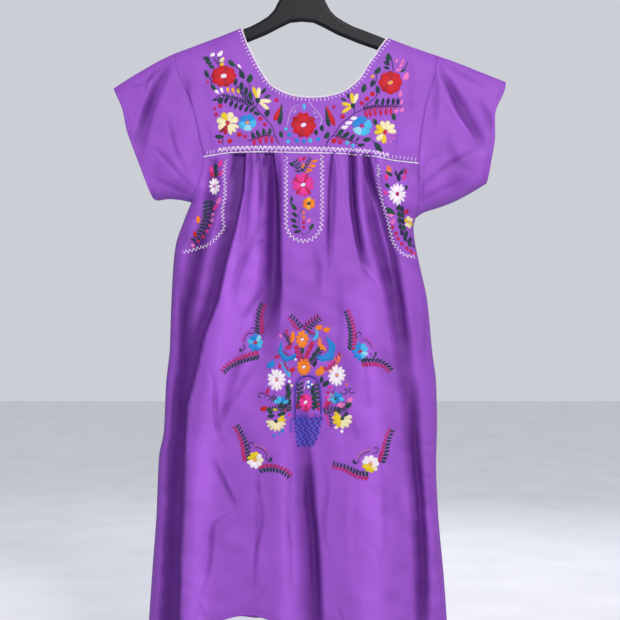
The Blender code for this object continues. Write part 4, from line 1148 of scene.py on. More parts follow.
    # Dark leaves: place, heading, length, half width.
    for x, y, angle, length, half in (
        (206.5, 58.8, 175, 9, 2.7), (208.8, 62.9, 175, 8, 2.3), (211.5, 66.8, 170, 7, 2.0),
        (231.8, 63.6, -28, 11, 2.8), (206.6, 73.7, 125, 10, 2.6), (213.8, 87.8, -30, 9, 2.3),
        (242, 74.8, -48, 11, 3.2), (249.8, 78.6, 88, 11, 3.4), (235.6, 81.9, -80, 8, 2.4),
        (241.7, 86.4, -70, 10, 2.7), (246.2, 91.2, -78, 10, 2.4), (250.6, 95.6, -62, 10, 2.6),
        (214.9, 99.8, 200, 6, 1.6), (219.5, 100.4, -90, 8, 2.2),
        (263.5, 91, 60, 9, 2.0), (267.6, 96.4, 25, 8, 1.8), (267.3, 113.3, -80, 9, 3.2),
        (256.7, 113.4, -10, 8, 2.2), (281.1, 134.6, -60, 8, 2.4), (219.4, 136.8, 10, 11, 2.6),
        (321.9, 128.2, -60, 8, 2.6), (316.1, 132.6, -70, 7, 2.4), (326.9, 135.3, 80, 9, 3.0),
        (340.6, 132.2, 55, 9, 2.7), (346.4, 134.6, 55, 9, 2.6), (352.2, 136.9, 60, 8, 2.2),
        (357.6, 139.2, 60, 7, 1.2), (367.1, 139.5, 25, 10, 2.8), (361.3, 145.0, 20, 9, 2.0),
        (375, 121.8, 120, 8, 2.4), (393.8, 117.2, -60, 9, 2.7), (378.4, 147.4, -40, 14, 3.4),
        (388.3, 57.6, 100, 11, 3.2), (386.6, 63.2, 170, 8, 2.2), (386.6, 67.9, 175, 7, 1.9),
        (377.9, 70.6, 65, 10, 3.0), (372.5, 83.2, 88, 9, 2.7), (377.9, 90, -60, 9, 2.8),
        (363.9, 88.2, 92, 11, 3.0), (348, 95.4, 120, 8, 1.6), (343.4, 99.6, 160, 7, 1.6),
        (403.4, 70.2, 30, 8, 1.4),
    ):
        s.leafAt(x, y, angle, length, half, "green" if draws.uniform() < 0.35 else "teal")
    # Rows of small leaves and buds along the stems.
    for x, y, angle, tint in (
        (226, 100.6, -100, "navy"), (231.2, 103.8, -100, "navy"), (236, 106, -100, "teal"),
        (241, 107.6, -104, "navy"), (246.6, 109.2, -110, "teal"), (252, 110, -116, "teal"),
        (221.5, 101, -96, "teal"), (252.8, 135.2, 110, "teal"), (257.6, 133.2, 110, "teal"),
        (263.6, 131.6, 105, "green"), (269.8, 131.2, 100, "green"), (254.3, 142.6, -70, "crimson"),
        (260.4, 141, -75, "crimson"), (266.2, 140.4, -80, "crimson"), (271.9, 140.2, -80, "crimson"),
        (377, 101.4, 80, "teal"), (382.9, 101.4, 88, "teal"), (388, 101.2, 92, "navy"),
        (393.3, 101.2, 95, "teal"), (397.9, 101.4, 100, "navy"), (366.3, 114.6, -60, "crimson"),
        (370.4, 113.8, -66, "crimson"), (375.2, 113.2, -70, "crimson"), (380.8, 112.8, -74, "crimson"),
        (386.2, 112.4, -78, "crimson"), (390.9, 111.8, -80, "crimson"),
    ):
        s.leafAt(x, y, angle, 8.4, 2.1, tint)
    for x, y, angle, tint in (
        (216.8, 91.7, -40, "white"), (221.8, 90.3, -55, "white"), (227.9, 89.9, -60, "gold"),
        (233, 90.2, -62, "gold"), (238.4, 91, -62, "yellow"),
    ):
        s.leafAt(x, y, angle, 6.6, 1.9, tint)
        tail = at(x, y) + heading(angle) * 3
        s.stem([tail, tail + heading(angle) * 4.5, tail + heading(angle - 8) * 9], "cream", 0.5, 3.0)
    for x, y, angle, length, half, tint in (
        (212.6, 54.6, 60, 6, 2.4, "white"), (220.2, 53.6, 62, 9, 2.5, "white"),
        (222, 59.8, 60, 7.5, 2.4, "cream"), (222, 64.2, 40, 5.5, 2.2, "yellow"),
        (239.4, 66.4, -40, 6, 1.6, "white"), (354, 118.4, 20, 8, 2.4, "white"),
        (349, 122.9, 22, 9, 2.4, "white"), (344.8, 127.2, 24, 8.6, 2.3, "white"),
        (372.5, 76.5, 60, 5, 2.0, "gold"), (396.6, 60.8, 100, 5, 1.6, "blush"),
        (402.8, 61.4, 70, 6, 1.8, "blush"), (401, 65.4, 60, 6, 1.8, "blush"),
        (398.8, 69.9, 20, 7, 2.0, "blush"), (406.2, 76.4, 75, 11, 3.2, "blush"),
        (400.4, 93.8, 90, 8, 2.2, "blush"), (401.5, 102, 90, 6.4, 1.9, "blush"),
        (396.2, 111, 60, 6.4, 2.2, "blush"), (402, 110, 60, 6, 2.2, "blush"),
    ):
        s.leafAt(x, y, angle, length, half, tint)
    # Round buds.
    for x, y, radius, tint in (
        (207.3, 82, 2.2, "crimson"), (276.4, 100.4, 3.0, "crimson"), (220.3, 105.9, 3.2, "crimson"),
        (214.8, 108.6, 2.2, "crimson"), (216.4, 114.6, 2.8, "crimson"), (260.6, 118.7, 3.2, "crimson"),
        (264.8, 124.4, 2.8, "crimson"), (239.4, 134.6, 3.4, "red"), (245, 136.4, 2.8, "crimson"),
        (229.8, 141, 3.4, "red"), (219.6, 142, 2.4, "crimson"), (334, 107, 2.4, "crimson"),
        (342.7, 116.4, 3.6, "crimson"), (334, 141, 3.6, "red"), (340, 142.2, 3.0, "crimson"),
        (347.3, 142.6, 3.2, "sky"), (353, 145.8, 2.6, "sky"), (372.5, 94, 3.4, "red"),
        (367.1, 98.8, 3.2, "red"), (361.8, 103.2, 3.2, "crimson"), (286, 129, 2.6, "sky"),
        (289.3, 134.6, 3.0, "blue"), (288, 141.6, 2.8, "sky"), (296.8, 140.9, 3.0, "blue"),
        (304, 141.6, 2.8, "blue"), (310.2, 140.6, 3.2, "sky"), (318.2, 139.4, 3.2, "blue"),
    ):
        s.bead(at(x, y), radius, tint, draws.uniform(0, 90))
    s.petal(at(304.2, 110.8), at(304.1, 103.4), 3.4, "sky", 0.1)
    # White vines curl round the middle poppy.
    for points in (
        ((298.5, 104.6), (293.6, 107), (290.6, 112), (288.4, 119), (287.4, 126)),
        ((309, 101.8), (313.4, 107.4), (319, 113.6), (321.8, 120), (319.6, 126.2)),
    ):
        s.stemPx(points, "white", 0.6, 2.2)
    s.curl(294.6, 110.6, 3.6, 200, "white", 0.55)
    s.curl(314.8, 111.6, 3.6, -20, "white", 0.55, -1)
    s.curl(316.8, 117.6, 3.0, 10, "white", 0.5, 1)
    return s


def sewCentreStrip():
    s = Sewing()
    s.flower(303, 184.8, 19.5, 13, ["pink", "pink", "crimson"], "white", 4.2, turn=8, flat=1.06, full=0.95)
    s.frond(((299.6, 172), (297.8, 165), (294, 159.6)), "teal", "green", 8, 1.8, 5.4)
    s.frond(((304.5, 172), (308, 165), (312.4, 158.6)), "teal", "orange", 7.6, 1.7, 5.4)
    for x, y, angle, tint in (
        (300, 159.4, 80, "pink"), (303.2, 165.6, 75, "orange"), (315.2, 161, 30, "orange"),
        (313.2, 166, 20, "orange"), (310.4, 170.4, 20, "salmon"), (291.4, 164.6, 150, "teal"),
        (303.8, 158.6, 60, "crimson"),
    ):
        s.leafAt(x, y, angle, 7, 1.8, tint)
    s.petal(at(289.8, 201.4), at(296.2, 210), 4.2, "green", 0.1)
    s.leafAt(291.4, 199, 100, 7, 1.6, "teal")
    s.flower(308.8, 203.6, 11, 6, ["orange", "gold", "orange"], "green", 3.8, turn=30)
    s.stemPx(((302.4, 208), (298.6, 217), (299.4, 227), (303.6, 236)), "navy", 0.9)
    for y, tint in ((212.6, "salmon"), (217.4, "salmon"), (222.4, "crimson"), (227.4, "crimson")):
        s.bead(at(303.6, y), 2.4, tint, 10)
    for x, y, angle in ((294.6, 214.6, 150), (293.6, 220.6, 160), (294.8, 226.4, 170), (297, 231.6, 200)):
        s.leafAt(x, y, angle, 8, 2.0, "teal")
    s.stemPx(((303.6, 235), (308, 233), (311.4, 229.4)), "green", 0.9)
    s.leafAt(311.6, 226.6, 70, 8, 2.2, "green")
    s.leafAt(308.8, 220.6, 50, 7, 1.9, "blush")
    return s


def sewSidePanels():
    s = Sewing()
    # The left panel's daisy is half hidden in a fold.
    s.flower(214, 186, 10, 10, ["white"], "blush", 3.0, flat=1.5)
    s.flower(397.3, 194, 15.4, 14, ["white"], "crimson", 3.6, flat=1.24, turn=10, heartAngle=-50, full=0.82)
    for x, y, angle, tint in (
        (220.5, 163.4, 80, "pink"), (220.5, 173, 70, "pink"), (211.2, 169, 110, "pink"),
        (211.8, 174, 130, "crimson"), (215.4, 167, 95, "teal"), (216, 173.4, 95, "teal"),
        (215, 207, 60, "pink"), (218.4, 200.6, 70, "blush"),
    ):
        s.leafAt(x, y, angle, 8.6, 2.4, tint)
    for x, y, angle, length, half, tint in (
        (388.6, 169.4, 110, 10, 3.4, "salmon"), (388.8, 173.6, 150, 11, 1.8, "teal"),
        (386.4, 177, 120, 7, 2.6, "pink"), (398.4, 177.4, 120, 9, 2.6, "navy"),
        (401.4, 172.2, 60, 10, 2.0, "navy"), (396, 173.2, 110, 7, 1.6, "teal"),
        (405.6, 171.6, 80, 7, 1.7, "crimson"), (404.2, 177.4, 60, 7, 1.9, "pink"),
        (387.2, 185.6, 150, 7, 2.4, "teal"), (406.2, 187.2, 100, 6, 1.8, "teal"),
        (385.2, 192.6, 150, 7, 1.8, "pink"), (390.8, 211.4, -25, 13, 3.4, "green"),
        (391.2, 215.4, 10, 7, 2.2, "blush"), (392.8, 221.4, 60, 7, 2.6, "blush"),
        (406.6, 211.2, 70, 7, 3.0, "crimson"),
    ):
        s.leafAt(x, y, angle, length, half, tint)
    s.frond(((208.4, 200), (208.4, 212), (205.6, 224), (200, 234), (192.4, 242.6)),
            "navy", "teal", 11.5, 2.8, 6.4, "navy")
    s.stemPx(((400.4, 205), (400.6, 217), (402.4, 229), (407, 239), (415, 247)), "navy", 1.3)
    for x, y, angle, tint in (
        (398.6, 207.4, 80, "teal"), (402.6, 209, -70, "navy"), (399, 213.6, 100, "green"),
        (402.9, 215, -60, "teal"), (399.4, 219.8, 110, "teal"), (403.4, 221, -60, "navy"),
        (400.4, 226, 110, "teal"), (404.6, 227.4, -60, "green"), (402.2, 232, 120, "navy"),
        (407, 233.4, -70, "teal"), (405.4, 238, 130, "teal"), (411, 239.4, -80, "navy"),
        (410, 243.4, 140, "green"), (415, 243.4, -80, "teal"),
    ):
        s.leafAt(x, y, angle, 7.2, 2.5, tint)
    s.leafAt(197.6, 219, 110, 9, 2.6, "orange")
    s.leafAt(194.4, 234, 120, 8, 2.4, "red")
    s.flower(409.6, 221.6, 8.4, 6, ["cream", "cream", "yellow"], "gold", 3.0, flat=1.3, turn=40)
    for x, y, tint in (
        (212.4, 214.6, "blush"), (211.4, 220, "blush"), (209.4, 225.6, "pink"), (206.4, 231, "pink"),
        (202.4, 236.4, "crimson"), (197.4, 241, "crimson"), (192, 245, "blush"),
        (392.8, 227, "crimson"), (396.2, 233.4, "crimson"), (398.2, 238.6, "crimson"),
        (402.2, 243.6, "crimson"), (407.4, 247.8, "crimson"), (411.4, 250.6, "crimson"),
        (415.4, 253, "pink"),
    ):
        s.bead(at(x, y), 2.6, tint)
    return s


def sewBasket():
    s = Sewing()
    # Fronds at the top of the bouquet.
    s.frond(((300, 329), (295, 322), (288.6, 315.6)), "crimson", "teal", 9.0, 1.9, 5.8)
    s.frond(((305, 330), (312, 322.4), (320.6, 316.6)), "wine", "teal", 9.4, 2.0, 5.8)
    s.flower(302.3, 339.4, 11.4, 9, ["orange"], "white", 3.2, flat=1.36, full=0.95)
    s.flower(303.8, 367.0, 12.4, 10, ["orange"], "white", 3.6, flat=1.24, full=0.95)
    for x, y, angle, length, half, tint in (
        (292.4, 337, 88, 15, 2.8, "orange"), (319, 327.4, 40, 9, 3.2, "orange"),
        (326.6, 329.6, 30, 9, 3.2, "orange"), (319.4, 341.6, 88, 11, 2.4, "salmon"),
        (324.2, 348.4, 120, 7, 1.8, "orange"), (320.2, 371, 80, 12, 5.0, "orange"),
        (271, 364.4, 70, 11, 4.2, "blue"), (338.4, 358, 100, 10, 1.4, "salmon"),
        (335.6, 360, 120, 8, 1.2, "salmon"), (318.4, 349.4, 60, 9, 2.4, "teal"),
        (315, 353.6, 50, 8, 2.2, "teal"), (312.4, 358, 50, 8, 2.0, "teal"),
        (315, 363.4, 80, 9, 2.0, "navy"), (302.4, 350.4, 90, 9, 2.2, "green"),
        (321.6, 379.6, 100, 8, 2.4, "teal"), (287.6, 387, 100, 9, 2.6, "teal"),
        (288.9, 394, 95, 9, 2.6, "green"), (289.4, 401.6, 95, 7, 2.0, "teal"),
        (326, 383.4, 60, 10, 3.0, "teal"), (292.4, 369.6, 60, 7, 2.4, "red"),
        (289.2, 373.4, 130, 7, 1.8, "sky"), (298.2, 397.6, 80, 8, 1.6, "green"),
        (297.2, 406, 95, 8, 1.6, "wine"), (312.6, 390, 110, 10, 2.6, "teal"),
        (314.4, 396.6, 105, 10, 2.4, "green"), (315.4, 403.8, 100, 10, 2.2, "teal"),
        (267.6, 391, 80, 9, 2.0, "crimson"), (264, 408.6, 40, 9, 3.0, "red"),
        (269.4, 410.6, 150, 10, 2.8, "green"), (271.2, 416, 20, 9, 2.2, "teal"),
        (281.8, 414, 30, 10, 2.6, "teal"), (275.2, 409.6, 10, 6, 1.8, "yellow"),
        (348.8, 404.8, 70, 9, 3.0, "green"), (345.6, 414.6, 50, 9, 1.8, "teal"),
        (341.4, 405.2, 20, 10, 3.6, "blush"), (349.6, 400, 60, 8, 3.2, "blush"),
        (285.6, 409.8, 60, 6, 1.6, "pink"), (277.4, 356.6, 40, 8, 2.0, "crimson"),
        (279.8, 366, 100, 6, 1.4, "crimson"),
    ):
        s.leafAt(x, y, angle, length, half, tint)
    # Blue crescents, as fans of short petals.
    s.crescent(287.6, 350.6, 17.5, 125, 350, "blue", 0.6)
    s.crescent(325.0, 349.6, 19.5, 85, -150, "blue", 0.74)
    s.crescent(313.6, 334.4, 9.5, 70, -110, "sky", 0.7)
    s.leafAt(288.8, 347.2, 45, 8, 3.0, "crimson")
    s.leafAt(321.0, 346.4, 110, 9, 2.8, "orange")
    for x, y, radius, flat in ((276.6, 379.6, 16, 1.18), (336.8, 375.4, 15, 1.22)):
        s.flower(x, y, radius, 12, ["white"], "gold", 2.8, flat=flat)
    for x, y, radius, tint in (
        (280.4, 336, 2.4, "blush"), (286.9, 330.8, 2.0, "crimson"), (295.8, 347.4, 2.6, "crimson"),
        (296.2, 352, 2.4, "crimson"), (297.4, 356.4, 2.2, "crimson"), (312.3, 343.4, 2.6, "crimson"),
        (310.4, 347.6, 2.4, "red"), (308.2, 351.6, 2.4, "crimson"), (306, 355.4, 2.2, "crimson"),
        (325.3, 368, 2.2, "crimson"), (328.8, 364.4, 2.0, "pink"), (332.2, 361.4, 1.9, "pink"),
        (295.4, 359.4, 1.8, "white"), (289.4, 381.4, 2.2, "white"), (291.6, 385.6, 2.0, "cream"),
        (318.2, 404, 2.0, "crimson"), (318.4, 409, 2.0, "crimson"), (330, 387.4, 2.3, "pink"),
        (328, 392.4, 2.3, "crimson"), (327, 397.6, 2.3, "pink"), (327.6, 403, 2.5, "red"),
        (274, 435.4, 2.2, "blue"), (279.4, 433.6, 1.8, "blue"), (282.4, 430.6, 2.2, "blue"),
        (289.4, 415, 1.9, "pink"), (336, 427.6, 2.2, "white"), (341.8, 431.4, 2.2, "white"),
        (346.4, 384.6, 1.8, "salmon"),
    ):
        s.bead(at(x, y), radius, tint, draws.uniform(0, 90))
    # Tulips, rose and the two fans that hang over the basket's sides.
    s.fan(281.2, 404.0, 14, 155, 25, 4, ["sky", "blue", "sky"], "green")
    s.fan(335.6, 399.8, 14.5, 175, 5, 5, ["sky", "blue", "sky"], "green")
    s.fan(335.6, 398.6, 9, 195, 345, 4, ["sky", "blue"], "green")
    s.flower(305.6, 402.4, 10.6, 9, ["pink", "pink", "pink", "crimson"], "white", 3.8,
             flat=1.46, heartAngle=45, full=1.5)
    s.flower(309.6, 384.4, 6.4, 6, ["white", "peri"], "violet", 2.4, flat=1.2)
    for y in np.arange(385, 411, 4.4):
        s.leafAt(298.0, y, 140, 5.6, 1.5, "teal")
        s.leafAt(301.6, y - 1.4, 40, 5.6, 1.5, "wine" if y > 398 else "green")
        s.leafAt(313.0, y + 1.0, 150, 6.0, 1.7, "teal")
        s.leafAt(317.4, y - 0.6, 30, 6.0, 1.7, "green")
    s.stemPx(((303.6, 391), (305, 386), (306.4, 381.6)), "white", 0.8, 2.2)
    s.stemPx(((307.6, 391), (309.4, 386.4), (308.2, 382.4)), "navy", 0.7, 2.2)
    s.fan(276, 421.2, 17.5, 185, 395, 9, ["cream", "cream", "cream", "yellow"], "teal")
    s.fan(342.2, 418.6, 17.5, 140, 372, 8, ["yellow", "yellow", "cream", "cream"], "teal")
    # Thin stems and tendrils.
    for points, tint in (
        (((295.6, 346), (299, 356), (301.6, 360)), "crimson"),
        (((314, 341), (308.6, 352), (305.4, 358)), "crimson"),
        (((286.3, 359), (287.6, 366), (291, 373)), "sky"),
        (((289, 388), (290, 398), (290.4, 409)), "teal"), (((322.6, 376), (320.4, 371)), "teal"),
        (((337, 386), (332, 394), (328.6, 406)), "navy"),
        (((277, 390), (273, 396), (271, 404)), "navy"),
        (((342, 418), (346, 411), (348.6, 406)), "navy"),
    ):
        s.stemPx(points, tint, 0.7, 2.4)
    for x, y, radius, turn, hand in (
        (261, 396.4, 4.4, 20, 1), (268.4, 398.6, 4.0, 160, -1), (344.4, 390.6, 4.6, 200, 1),
        (351.4, 389.8, 4.4, -20, -1),
    ):
        s.curl(x, y, radius * 1.6, turn, "navy", 1.5, hand)
    s.frond(((324, 411.6), (331, 409.6), (340.6, 409.4)), "teal", "teal", 7.4, 1.7, 5.2)
    s.frond(((327, 413), (329.6, 420), (330, 428)), "teal", "pink", 6.4, 1.5, 5.0)
    # Small sprigs fill the bouquet between its flowers.
    for points, leftTint, rightTint, stemTint, length in (
        (((288, 358), (283, 353), (278, 351)), "crimson", "wine", "wine", 5.4),
        (((291, 345), (288.6, 338), (283.6, 332.6)), "teal", "crimson", "teal", 5.0),
        (((302, 362), (300.4, 354), (297, 345)), "crimson", "wine", "crimson", 5.0),
        (((305.4, 362), (308.4, 352), (313, 341.4)), "red", "crimson", "crimson", 5.2),
        (((311.4, 364), (316.4, 356), (321.6, 348)), "teal", "navy", "teal", 6.8),
        (((327, 371), (335, 364), (341, 353)), "crimson", "salmon", "wine", 5.6),
        (((286, 412), (280, 403), (271, 396)), "teal", "teal", "navy", 6.6),
        (((285, 408), (277, 408), (268.4, 409.6)), "green", "teal", "navy", 6.2),
        (((334, 412), (341, 410), (350.4, 401.6)), "teal", "green", "navy", 6.4),
        (((324, 408), (329.6, 401), (333, 390.4)), "pink", "crimson", "navy", 5.6),
        (((290.6, 376), (286, 369), (282, 361)), "sky", "crimson", "blue", 5.4),
        (((306.6, 331), (312, 335), (318, 334.6)), "crimson", "blue", "teal", 5.0),
        (((288.4, 411), (287.4, 400), (289.6, 388)), "teal", "green", "teal", 6.6),
    ):
        s.frond(points, leftTint, rightTint, length, 1.7, 4.4, stemTint)
    sewWicker(s)
    return s


def sewWicker(s):
    # The basket: a handle in two rows, an open rim and slanting rows of stitches that cross like wicker.
    handle = ((294, 417), (294, 400), (294.8, 386), (300, 377.4),
              (309, 375.4), (317, 379), (320.6, 390), (322, 413))
    s.stemPx(handle, "violet", 1.9, 2.6)
    s.stemPx([(x + (1.3 if x < 308 else -1.3), y + 1.0) for x, y in handle], "indigo", 1.5, 2.6)
    top, bottom = 418.0, 446.5
    for row, y in enumerate(np.arange(top, bottom, 1.12)):
        share = (y - top) / (bottom - top)
        left, right = 293.4 + 4.2 * share, 322.4 - 9.0 * share ** 1.5
        tilt = 0.85 if row % 2 else -0.85
        for k, x in enumerate(np.arange(left + (row % 3) * 0.8, right, 2.75)):
            tint = ("violet", "indigo", "violet", "peri")[(2 * k + row) % 4]
            s.stitch(at(x - 1.5, y - tilt), at(x + 1.5, y + tilt), tint, 1.75, 0.3 + 0.25 * (row % 2))
    for x in np.arange(294.4, 322, 1.5):
        tip = at(x + draws.uniform(-0.6, 0.9), 413.6)
        s.stitch(at(x, 418.4), tip, "pink" if draws.uniform() < 0.3 else "violet", 1.2)
    s.stemPx(((293.6, 418.4), (308, 419.0), (321.8, 417.2)), "indigo", 1.3, 2.6)
    for y in np.arange(420, 433, 1.5):
        s.stitch(at(289.2, y), at(292.2, y - 1.2), "violet", 1.3)


def sewCorners():
    s = Sewing()
    for x, y, radius, petalTints, heartTint, heart, turn, flat in (
        (255.3, 342.6, 13.4, "blue blue sky blue blue blue sky sky pale", "crimson", 3.8, 90, 1.14),
        (360, 351.4, 13.8, "sky blue blue blue blue blue sky pale sky", "crimson", 3.8, 60, 1.12),
        (255.1, 460.1, 14, "yellow yellow yellow white white white white cream white", "gold", 3.6, 80, 1.08),
        (370.1, 463.5, 15, "white white white white yellow yellow yellow cream white", "gold", 3.6, 40, 1.0),
    ):
        s.flower(x, y, radius, 9, petalTints.split(), heartTint, heart, turn=turn, flat=flat, full=0.95)
    for points, leftTint, rightTint in (
        (((259.6, 333.6), (259, 322), (260.4, 312), (263.4, 302.6)), "teal", "crimson"),
        (((258.6, 354.8), (249, 357.4), (238, 361), (228.6, 366), (222.6, 372.6)), "teal", "crimson"),
        (((351.6, 349.6), (352.4, 336), (350.6, 322.6), (345.8, 309.6)), "teal", "crimson"),
        (((361.6, 362.4), (373, 361.6), (384, 364.6), (391.6, 371.6)), "teal", "crimson"),
        (((246.8, 461), (245.2, 449), (241.6, 436.6), (235.2, 424.8)), "crimson", "teal"),
        (((259.4, 469.2), (270, 467.4), (281.6, 469.6), (291, 477)), "crimson", "teal"),
        (((380.8, 462), (384.4, 452), (386.6, 440.6), (392, 428.4)), "crimson", "teal"),
        (((368, 476), (357.6, 474.2), (345.6, 468.4), (331.6, 464.6)), "crimson", "teal"),
    ):
        s.frond(points, leftTint, rightTint)
    for x, y, radius, turn, tint, hand in (
        (252.2, 329.6, 4.4, 240, "navy", 1), (241.4, 348, 4.2, 60, "navy", -1),
        (359.4, 334.4, 4.4, 250, "teal", -1), (374.4, 353.6, 4.2, 160, "teal", 1),
        (252.2, 444.6, 4.4, 250, "navy", -1), (270.2, 458.6, 4.2, 160, "navy", 1),
        (375, 449, 4.4, 240, "teal", 1), (354.8, 460.6, 4.2, 20, "navy", -1),
    ):
        s.curl(x, y, radius * 1.6, turn, tint, 1.5, hand)
    for x, y, radius, start, end, tint in (
        (255.3, 342.6, 18.6, 174, 116, "crimson"), (360, 351.4, 20.6, 70, 16, "pink"),
        (255.1, 460.1, 21.6, 88, 22, "salmon"), (370.1, 463.5, 20, 94, 150, "salmon"),
    ):
        s.comb(x, y, radius, start, end, tint)
    for x, y in ((240.6, 350), (375.6, 353.6), (270.4, 459.2), (354.4, 462)):
        s.bead(at(x, y), 2.0, "teal")
    return s


def sewWhite():
    # The white lines: the yoke seam, the feather band over it, and the zigzags round three panels.
    s = Sewing()
    seam = np.array(yokeSeam) + [0, 0.9]
    s.stem(seam, "white", 2.1, 4.4)
    band = path(yokeSeam, np.linspace(0, 1, 60)) - [0, 5.4]
    inside = (band[:, 0] > -142) & (band[:, 0] < 150)
    s.zigzag(band[inside], 4.2, 7.6, "white", 1.15)
    s.zigzag(band[inside] - [0, 1.2], 2.4, 5.4, "white", 0.85)
    for x in np.concatenate([np.arange(-160, -144, 5.5), np.arange(152, 192, 6.5)]):
        y = float(smooth(x, [p[0] for p in yokeSeam], [p[1] for p in yokeSeam]))
        s.stitch((x, y - 1.5), (x + 1.2, y - 8.0), "white", 0.8)
    strip = ((286, 156), (286, 200), (286, 224), (289.4, 234), (296, 239.8), (303.6, 241.4),
             (311.4, 239.4), (318, 233.6), (321.6, 224), (322, 200), (322, 155))
    s.zigzag([at(x, y) for x, y in strip], 3.5, 7.6, "white", 1.2)
    left = ((226, 158), (224, 175), (225, 185), (224.7, 198), (222.6, 208), (222.6, 217), (224, 226),
            (217, 237), (212, 242), (205, 246), (198, 247.5), (191, 250), (181.6, 252))
    right = ((377, 164), (379, 172), (377.5, 179), (379.7, 190), (382, 200), (385.5, 213), (387.7, 220),
             (390.7, 233), (394.3, 244), (400, 251), (408, 255.6), (416, 256.3))
    for side in (left, right):
        s.zigzag([at(x, y) for x, y in side], 2.9, 6.6, "white", 1.1)
    blanket(s)
    return s


def blanket(s):
    # Ticks that hold the neck edging, all round the neckline.
    line = spacedAlong(neckline, 6.4)[1:-1]
    runs = np.gradient(line, axis=0)
    inward = np.stack([-runs[:, 1], runs[:, 0]], -1)
    inward /= np.linalg.norm(inward, axis=1, keepdims=True)
    for spot, way, run in zip(line, inward, runs):
        start = spot + way * 0.6
        s.stitch(start, start + way * draws.uniform(4.2, 6.0) + run * 0.14, "white", 1.15, 0.2)


def sewBack():
    s = Sewing(1)
    blanket(s)
    s.running(np.array(yokeSeam) - [0, 3], 2.6, 0.9)
    sewHems(s, False)
    return s


def sewHems(s, lifted):
    # Tone-on-tone stitching that holds the turned hem, cuffs and slits.
    grid = skirtGrid(lifted)
    low = grid[-1, 2:-2] - [0, hem["turn"] + 2]
    s.running(low[::6], 2.8, 1.0)
    for side, inward in ((leftSide, 1), (rightSide, -1)):
        line = path(side, np.linspace(0, 1, 60))
        line = line[(line[:, 1] > slit["top"] - 10) & (line[:, 1] < hem["drop"] - 12)]
        s.running(line + [inward * 9.0, 0], 2.8, 1.0)
    for cuff, armhole, inward in ((leftCuff, leftArmhole, 1), (rightCuff, rightArmhole, -1)):
        line = path(cuff, np.linspace(0.03, 0.97, 30))
        runs = np.gradient(line, axis=0)
        aside = np.stack([runs[:, 1], -runs[:, 0]], -1)
        aside /= np.linalg.norm(aside, axis=1, keepdims=True)
        s.running(line + aside * inward * 7.0, 2.8, 1.0)
        seam = path(armhole, np.linspace(0.02, 0.97, 30))
        s.running(seam + [inward * 2.2, 0], 2.8, 1.0)


def makeEdging(material):
    # A crocheted cord: two strands twisted round the neckline's edge, front and back in one ring.
    line = path(neckline, np.linspace(0, 1, 400))
    runs = np.gradient(line, axis=0)
    away = np.stack([runs[:, 1], -runs[:, 0]], -1)
    away /= np.linalg.norm(away, axis=1, keepdims=True)
    halves = []
    for side in (-1, 1):
        spots, normals = place(line, side)
        out = np.stack([away[:, 0], np.zeros(len(away)), -away[:, 1]], -1)
        out -= normals * np.sum(out * normals, -1, keepdims=True)
        out /= np.linalg.norm(out, axis=-1, keepdims=True)
        halves.append(spots - normals * cord["sunk"] + out * cord["outside"])
    front, back = halves
    ring = np.concatenate([front, back[-2:0:-1]])
    for k in range(3):
        ring = (np.roll(ring, 1, 0) + 2 * ring + np.roll(ring, -1, 0)) / 4
    closed = np.concatenate([ring, ring[:1]])
    lengths = lengthsOf(closed)
    count, sides = cord["points"], cord["strandSides"]
    atLengths = np.linspace(0, lengths[-1], count, endpoint=False)
    centre = np.stack([np.interp(atLengths, lengths, closed[:, k]) for k in range(3)], -1)
    ahead = np.roll(centre, -1, 0) - np.roll(centre, 1, 0)
    ahead /= np.linalg.norm(ahead, axis=1, keepdims=True)
    firstWay = np.cross(ahead, [0, 1, 0.001])
    firstWay /= np.linalg.norm(firstWay, axis=1, keepdims=True)
    secondWay = np.cross(ahead, firstWay)
    turns = round(lengths[-1] / cord["turnLength"])
    points, faces = [], []
    for strand in range(2):
        swing = 2 * np.pi * (turns * np.arange(count) / count + strand / 2)
        swung = np.cos(swing)[:, None] * firstWay + np.sin(swing)[:, None] * secondWay
        heart = centre + cord["strandOff"] * swung
        base = len(points) * count
        for k in range(sides):
            turn = 2 * np.pi * k / sides
            around = np.cos(turn) * firstWay + np.sin(turn) * secondWay
            points.append(heart + cord["strandRadius"] * around)
        number = base + np.arange(sides * count).reshape(sides, count)
        a, b = number, np.roll(number, -1, axis=1)
        c, d = np.roll(a, -1, axis=0), np.roll(b, -1, axis=0)
        faces.append(np.stack([a, b, d, c], -1).reshape(-1, 4))
    return makeMesh("neck_crochet", np.concatenate(points), np.concatenate(faces).tolist(), material)


def makeCloth(material):
    yoke = yokeGrid()
    sheets = {}
    for side, word in ((-1, "front"), (1, "back")):
        points, folds = clothFace(yoke, side)
        sheets[word + "_yoke"] = makeShell(word + "_yoke_cloth", points, folds, yoke, side, material)
        grid = skirtGrid(side < 0)
        points, folds = clothFace(grid, side)
        sheets[word + "_skirt"] = makeShell(word + "_skirt_cloth", points, folds, grid, side, material)
    for word, armhole, top, under, cuff, outward in (
        ("left", leftArmhole, leftSleeveTop, leftSleeveUnder, leftCuff, -1),
        ("right", rightArmhole, rightSleeveTop, rightSleeveUnder, rightCuff, 1),
    ):
        grid = sleeveGrid(armhole, top, under, cuff, outward)
        (front, frontFold), (back, backFold) = clothFace(grid, -1), clothFace(grid, 1)
        front[:, [0, -1], 1] = 0
        ring = np.concatenate([front, back[:, -2:0:-1]], axis=1)
        folds = np.concatenate([frontFold, backFold[:, -2:0:-1]], axis=1)
        spread = np.concatenate([grid, grid[:, -2:0:-1]], axis=1)
        name = "sleeve_" + word
        sheets[name] = makeShell(name + "_cloth", ring, folds, spread, -1, material, ring=True)
    return sheets


